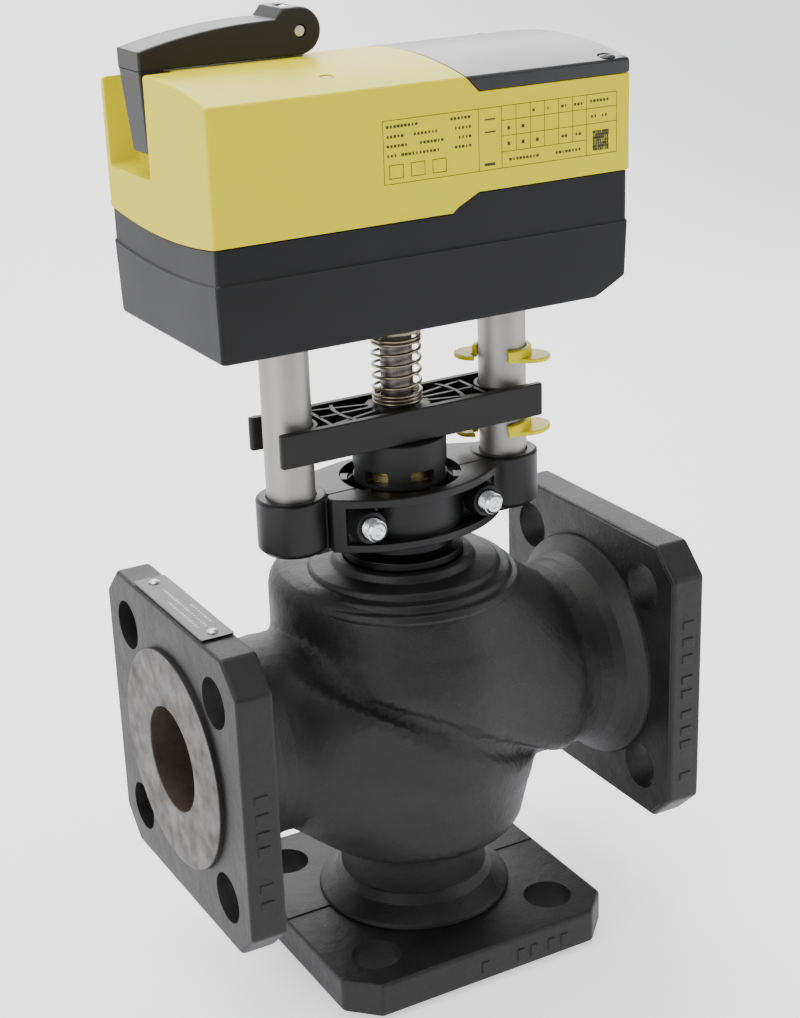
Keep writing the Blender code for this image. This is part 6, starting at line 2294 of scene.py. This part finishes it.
    def label_marks(self) -> list[tuple[float, float, float, float]]:
        """The label's frame, cell lines and plain boxes.

        Returns:
            Strips, each as its low x and z and its high x and z.
        """
        left, low, right, high = self.label
        line = self.label_line
        near, far = self.label_columns[1:]
        foot = self.label_rows[2]
        strips = [(left, z, right, z + line) for z in (low, high - line)]
        strips += [(x, low, x + line, high) for x in (left, *self.label_columns, right - line)]
        cells = [near + self.label_cell * column for column in range(1, 6)]
        strips += [(x, foot, x + line, high) for x in cells]
        strips += [(near, z, far, z + line) for z in self.label_rows]
        strips += [(far, z, right, z + line) for z in self.label_rows[:2]]
        for x in self.label_boxes:
            strips += [(x, 311.2, x + 5.4, 311.45), (x, 315.6, x + 5.4, 315.85)]
            strips += [(x, 311.2, x + 0.25, 315.85), (x + 5.15, 311.2, x + 5.4, 315.85)]
        strips += [(12.0, 311.0, 16.2, 312.0), (12.2, 322.0, 16.4, 322.5), (12.2, 326.2, 16.4, 326.7)]
        strips += [(21.0, 322.2, 22.2, 323.4), (26.7, 322.2, 27.9, 323.4), (26.7, 317.0, 27.9, 318.2)]
        strips += [(21.0, 317.0, 22.2, 318.2), (32.4, 317.0, 33.6, 318.2)]
        return strips

    def label_print(self, dashes: DashTree) -> Solid:
        """The label's print: plain lines and rows of dashes in place of words.

        Args:
            dashes: The tree that lays the dashes.

        Returns:
            The print, a little proud of the yellow front.
        """
        front, proud = -self.half, self.print_proud
        verts: list[Point3] = []
        faces: list[tuple[int, ...]] = []
        for x0, z0, x1, z1 in self.label_marks():
            first = len(verts)
            verts += [
                (x, y, z)
                for y in (front - proud, front + proud)
                for x, z in ((x0, z0), (x1, z0), (x1, z1), (x0, z1))
            ]
            sides = [(0, 1, 2, 3), (7, 6, 5, 4), (0, 4, 5, 1), (1, 5, 6, 2), (2, 6, 7, 3), (3, 7, 4, 0)]
            faces += [tuple(first + corner for corner in side) for side in sides]
        mesh = bpy.data.meshes.new("strips")
        mesh.from_pydata(verts, [], faces)
        lines = Solid.wrap(mesh).coat(PRINT)
        rows = []
        words = ((328.2, ((-24.8, 9), (-0.6, 6))), (325.0, ((-24.8, 5), (-14.6, 7), (1.0, 5))))
        words += ((321.9, ((-24.8, 6), (-12.4, 7), (2.4, 4))), (318.8, ((-24.8, 3), (-19.4, 11), (1.0, 5))))
        words += ((328.0, ((55.0, 6),)), (322.8, ((55.4, 2), (59.8, 2))), (312.2, ((22.2, 9), (40.8, 8))))
        words += ((327.6, ((31.6, 1), (37.4, 1), (43.2, 2), (48.4, 3))), (317.5, ((43.3, 2), (49.0, 2))))
        for z, groups in words:
            for start, count in groups:
                rows += [(start + 1.35 * place, front, z) for place in range(count)]
        for row in range(7):
            rows += [(56.2 + 0.95 * place, front, 311.4 + 1.0 * row) for place in range(7)]
        print_rows = dashes.apply(
            spots(rows), PRINT, Length=1.15, Thickness=proud * 2, Height=0.95, Shortest=0.45, Seed=11
        )
        return lines.gather(print_rows)

    def cross_slot(self, low: float, high: float) -> list[Solid]:
        """The two crossed bars that cut the slot in a screw's head."""
        a, b = self.slot_bar
        return [Solid.box((-x, -y, low), (x, y, high)) for x, y in ((a, b), (b, a))]

    def small_parts(self, scatter: ScatterTree) -> None:
        """The cover's screws, the housing's screws, the entry plugs and the status light.

        Args:
            scatter: The tree that places the screws.
        """
        low, high = extent("cover_screw_front")
        seat = high.z - self.cover_screw_sink
        profile = [
            (0, low.z), (1.5, low.z), (1.5, seat), (2.8, seat), (2.8, high.z - 0.5), (2.1, high.z),
            (0, high.z),
        ]
        head = Solid.lathe(profile, steps=32)
        head.cut(*self.cross_slot(high.z - 0.9, high.z + OVERRUN))
        places = [(self.cover_screw[0], side * self.cover_screw[1], 0.0) for side in (-1, 1)]
        screws = scatter.place(head, places, COVER_SCREW, (0, 0, 0.5))
        screws.dress("cover_screws", Body.FRAME, COVER_SCREW, ["cover_screw_front", "cover_screw_back"])
        low, high = extent("housing_screw_1")
        profile = [(0, low.z), (2.2, low.z), (3.0, low.z + 0.6), (3.0, low.z + 1.8), (1.5, low.z + 1.8)]
        profile += [(1.5, high.z), (0, high.z)]
        head = Solid.lathe(profile, steps=32)
        head.cut(*self.cross_slot(low.z - OVERRUN, low.z + 0.9))
        middle = (self.left + self.right) / 2
        places = [(middle + a * self.legs[0], b * self.legs[1], 0.0) for a in (-1, 1) for b in (-1, 1)]
        nodes = [f"housing_screw_{number}" for number in range(1, 5)]
        scatter.place(head, places, ZINC).dress("housing_screws", Body.FRAME, ZINC, nodes)
        low, high = extent("entry_plug_front")
        x = self.right + 0.3
        profile = [(0, low.x), (6.0, low.x), (6.0, x), (7.6, x), (7.6, high.x - 0.6), (7.0, high.x)]
        profile += [(4.4, high.x), (3.9, high.x - 0.7), (0, high.x - 0.7)]
        plug = Solid.lathe(profile, Axis.X, steps=48)
        places = [(0.0, side * self.entry[0], self.entry[1]) for side in (-1, 1)]
        plugs = scatter.place(plug, places, BASE)
        plugs.dress("entry_plugs", Body.FRAME, BASE, ["entry_plug_front", "entry_plug_back"])
        low, high = extent("status_light")
        light = Solid.rod(2.0, low.z, high.z, centre=self.status_spot, edge=0.3)
        light.dress("light_pipe", Body.FRAME, AMBER, ["status_light"])

    def build(self, scatter: ScatterTree, dashes: DashTree) -> None:
        """Make and dress the head.

        Args:
            scatter: The tree that places the screws.
            dashes: The tree that lays the label's dashes.
        """
        self.base().dress("head_base", Body.FRAME, BASE, ["base_housing"])
        self.housing().dress("head_housing", Body.FRAME, YELLOW, ["top_housing"])
        self.cover().dress("head_cover", Body.FRAME, COVER, ["terminal_cover"])
        self.label_print(dashes).dress("label_print", Body.FRAME, PRINT, weighted=False)
        self.small_parts(scatter)


@dataclass
class Crank:
    """The folding crank: a bowed arm on the roof, with its grip down in the housing's slot."""

    hub: Point2 = (-28.5, 354.4)
    hub_radius: float = 8.0
    near: float = 8.0
    far: float = 27.0
    under: float = 346.4
    left: float = -88.1
    tip_height: float = 6.5
    root_height: float = 12.5
    grip_thickness: float = 9.2
    grip_low: float = 318.9
    grip_end_far: float = 22.0
    tongue_half: float = 3.5
    pin_radius: float = 2.0
    fork_reach: float = 3.9

    def side_outline(self) -> list[Point2]:
        """The arm seen from the side.

        Returns:
            The outline as (x, z) points.
        """
        x, z = self.hub
        r = self.hub_radius
        root = x - r - 4.5
        points = [(self.left, self.under)] + arc(self.hub, r, 270, 450, 24)
        points += [(x - r * 0.75, z + r), (x - r - 1.0, self.under + self.root_height)]
        span = root - self.left
        for step in range(17):
            share = step / 16
            rise = self.tip_height + (self.root_height - self.tip_height) * (1 - share**2)
            points.append((root - span * share, self.under + rise))
        return points

    def handle(self) -> Solid:
        """The arm with its grip, forked round the shaft's tongue.

        Returns:
            The handle.
        """
        arm = Solid.prism(self.side_outline(), self.near, self.far, Axis.Y, 0.9)
        right = self.left + self.grip_thickness
        wide = filleted(rectangle((self.left, self.near), (right, self.far)), 1.0, 3)
        end = filleted(rectangle((self.left + 1.2, self.near), (right, self.grip_end_far)), 1.0, 3)
        bottom = shrunk(end, 0.8)
        rings = [[(a, b, self.grip_low) for a, b in bottom], [(a, b, self.grip_low + 0.7) for a, b in end]]
        rings.append([(a, b, self.under + 2.0) for a, b in wide])
        arm.join(Solid.loft(rings))
        x, z = self.hub
        room = self.hub_radius + 0.3
        lean = math.degrees(math.acos(self.fork_reach / room))
        reach = 2.5 * self.hub_radius
        fork = arc(self.hub, room, 180 - lean, 180 + lean, 20)
        near = x - self.fork_reach
        fork += [(near, z - reach), (x + reach, z - reach), (x + reach, z + reach), (near, z + reach)]
        gap = self.tongue_half + 0.4
        middle = (self.near + self.far) / 2
        tools = [Solid.prism(fork, middle - gap, middle + gap, Axis.Y)]
        tools.append(Solid.rod(self.pin_radius + 0.3, self.near - 1, self.far + 1, Axis.Y, self.hub))
        return arm.cut(*tools).bevel(0.3, 2, 40.0)

    def build(self) -> None:
        """Make and dress the crank and its pin."""
        self.handle().dress("crank_arm", Body.CRANK, CRANK, ["crank_handle"])
        pin = Solid.rod(self.pin_radius, self.near + 0.4, self.far - 0.4, Axis.Y, self.hub, 0.4)
        pin.dress("hinge_pin", Body.FRAME, BRIGHT_STEEL, ["crank_pin"])


@dataclass
class Inside:
    """The parts inside the head and the valve, which keep their CAD meshes and take a finish each."""

    finishes: tuple[tuple[Finish, tuple[str, ...]], ...] = (
        (
            TURNED_STEEL,
            ("upper_seat_ring", "lower_seat_ring", "valve_plug", "crank_shaft", "thrust_bearing"),
        ),
        (GROUND_STEEL, ("valve_stem",)),
        (BRASS, ("stem_guide_bush", "gland_nut", "nut_gear", "motor_pinion")),
        (RUBBER, ("stem_packing",)),
        (SPRING_WIRE, ("retaining_ring",)),
        (ZINC, ("upper_pillar_screw_left", "upper_pillar_screw_right")),
        (BRIGHT_STEEL, ("gear_plate", "motor_plate", "gear_axle", "motor")),
        (GEAR_GREY, ("intermediate_gear", "terminal_block")),
        (BOARD, ("circuit_board",)),
        (COVER, ("coding_switch",)),
    )

    def build(self) -> None:
        """Give every CAD node that still shows its finish."""
        for finish, names in self.finishes:
            for name in names:
                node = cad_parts[name]
                node.data.materials.clear()
                node.data.materials.append(finish.material())
                LOG.info("%s: CAD node in %s", name, finish.name)


# Studio


@dataclass(frozen=True)
class SoftBox:
    """A soft light: where it stands, its width and height, its power in watts and its tint."""

    name: str
    place: Point3
    size: Point2
    power: float
    tint: Colour = (1.0, 1.0, 1.0)


@dataclass
class Studio:
    """The floor, the soft lights and the camera."""

    azimuth: float = -28.09
    elevation: float = 21.14
    roll: float = -2.27
    position: Point3 = (-323.7, -584.3, 433.6)
    focal_length: float = 1902.2
    principal: Point2 = (373.7, 513.7)
    image: Point2 = (800.0, 1018.0)
    sensor: float = 36.0
    floor_level: float = -0.05
    floor_front: float = -1600.0
    floor_back: float = 700.0
    floor_half_width: float = 1800.0
    sweep_radius: float = 500.0
    wall_height: float = 1600.0
    floor_glow: float = 0.9
    air: Colour = (0.86, 0.87, 0.90)
    air_strength: float = 0.34
    aim: Point3 = (0.0, 0.0, 190.0)
    boxes: tuple[SoftBox, ...] = (
        SoftBox("top_box", (-60.0, 120.0, 1150.0), (900.0, 900.0), 17.0, (1.0, 0.99, 0.97)),
        SoftBox("left_box", (-1050.0, -420.0, 620.0), (700.0, 900.0), 11.0),
        SoftBox("right_box", (900.0, -650.0, 520.0), (600.0, 900.0), 6.0, (0.97, 0.98, 1.0)),
        SoftBox("back_box", (500.0, 900.0, 800.0), (900.0, 500.0), 9.0),
    )

    def camera(self) -> None:
        """Place the camera; its focal length and principal point are in the image's own units."""
        az, el, roll = (math.radians(v) for v in (self.azimuth, self.elevation, self.roll))
        ahead = Vector((-math.sin(az) * math.cos(el), math.cos(az) * math.cos(el), -math.sin(el)))
        side = ahead.cross(Vector((0.0, 0.0, 1.0))).normalized()
        up = side.cross(ahead)
        right = math.cos(roll) * side + math.sin(roll) * up
        upright = -math.sin(roll) * side + math.cos(roll) * up
        data = bpy.data.cameras.new("studio_camera")
        longest = max(self.image)
        data.sensor_width = self.sensor
        data.lens = self.focal_length * self.sensor / longest
        data.shift_x = (self.image[0] / 2 - self.principal[0]) / longest
        data.shift_y = (self.principal[1] - self.image[1] / 2) / longest
        camera = bpy.data.objects.new("studio_camera", data)
        bpy.context.scene.collection.objects.link(camera)
        basis = Matrix((right, upright, -ahead)).transposed().to_4x4()
        camera.matrix_world = Matrix.Translation(Vector(self.position) * MM) @ basis
        bpy.context.scene.camera = camera

    def backdrop(self) -> None:
        """A pale floor that sweeps up into a wall."""
        line = [(self.floor_front, self.floor_level), (self.floor_back, self.floor_level)]
        corner = (self.floor_back, self.floor_level + self.sweep_radius)
        line += [(y, z) for y, z in arc(corner, self.sweep_radius, 270, 360, 24)]
        line.append((self.floor_back + self.sweep_radius, self.wall_height))
        verts = [(x, y, z) for y, z in line for x in (-self.floor_half_width, self.floor_half_width)]
        faces = [(2 * i, 2 * i + 1, 2 * i + 3, 2 * i + 2) for i in range(len(line) - 1)]
        mesh = bpy.data.meshes.new("backdrop")
        mesh.from_pydata(verts, [], faces)
        mesh.polygons.foreach_set("use_smooth", [True] * len(mesh.polygons))
        mesh.transform(Matrix.Scale(MM, 4))
        paint = Paint("pale_paper")
        shade = paint.noise(400.0, 2.0)
        paint.drive("Base Color", paint.blend(shade, (0.78, 0.78, 0.80), (0.80, 0.80, 0.81)))
        paint.fix(Roughness=0.55, Emission_Color=(0.95, 0.955, 0.98), Emission_Strength=self.floor_glow)
        mesh.materials.append(paint.material)
        backdrop = bpy.data.objects.new("backdrop", mesh)
        bpy.context.scene.collection.objects.link(backdrop)

    def light(self, box: SoftBox) -> None:
        """Add one soft box.

        Args:
            box: The box.
        """
        data = bpy.data.lights.new(box.name, "AREA")
        data.shape = "RECTANGLE"
        data.size, data.size_y = (length * MM for length in box.size)
        data.energy = box.power
        data.color = box.tint
        lamp = bpy.data.objects.new(box.name, data)
        lamp.location = Vector(box.place) * MM
        lamp.rotation_euler = (Vector(self.aim) - Vector(box.place)).to_track_quat("-Z", "Y").to_euler()
        bpy.context.scene.collection.objects.link(lamp)

    def build(self) -> None:
        """Set up the studio."""
        self.backdrop()
        world = bpy.data.worlds.new("studio_air")
        world.use_nodes = True
        background = world.node_tree.nodes["Background"]
        background.inputs["Color"].default_value = (*self.air, 1.0)
        background.inputs["Strength"].default_value = self.air_strength
        bpy.context.scene.world = world
        for box in self.boxes:
            self.light(box)
        self.camera()


def main() -> None:
    """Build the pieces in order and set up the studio."""
    logging.basicConfig(level=logging.INFO, format="%(name)s: %(message)s")
    wire, scatter, dashes = WireTree(), ScatterTree(), DashTree()
    Casting().build(scatter)
    Bonnet().build()
    RatingPlate().build(scatter, dashes)
    Bracket().build(scatter)
    Pillars().build(scatter)
    Coupling().build(wire)
    StrokeClip("upper_indicator", Body.UPPER_CLIP, 228.4).build()
    StrokeClip("lower_indicator", Body.LOWER_CLIP, 199.6, lean=-7.0).build()
    Head().build(scatter, dashes)
    Crank().build()
    Inside().build()
    Studio().build()


if __name__ == "__main__":
    main()
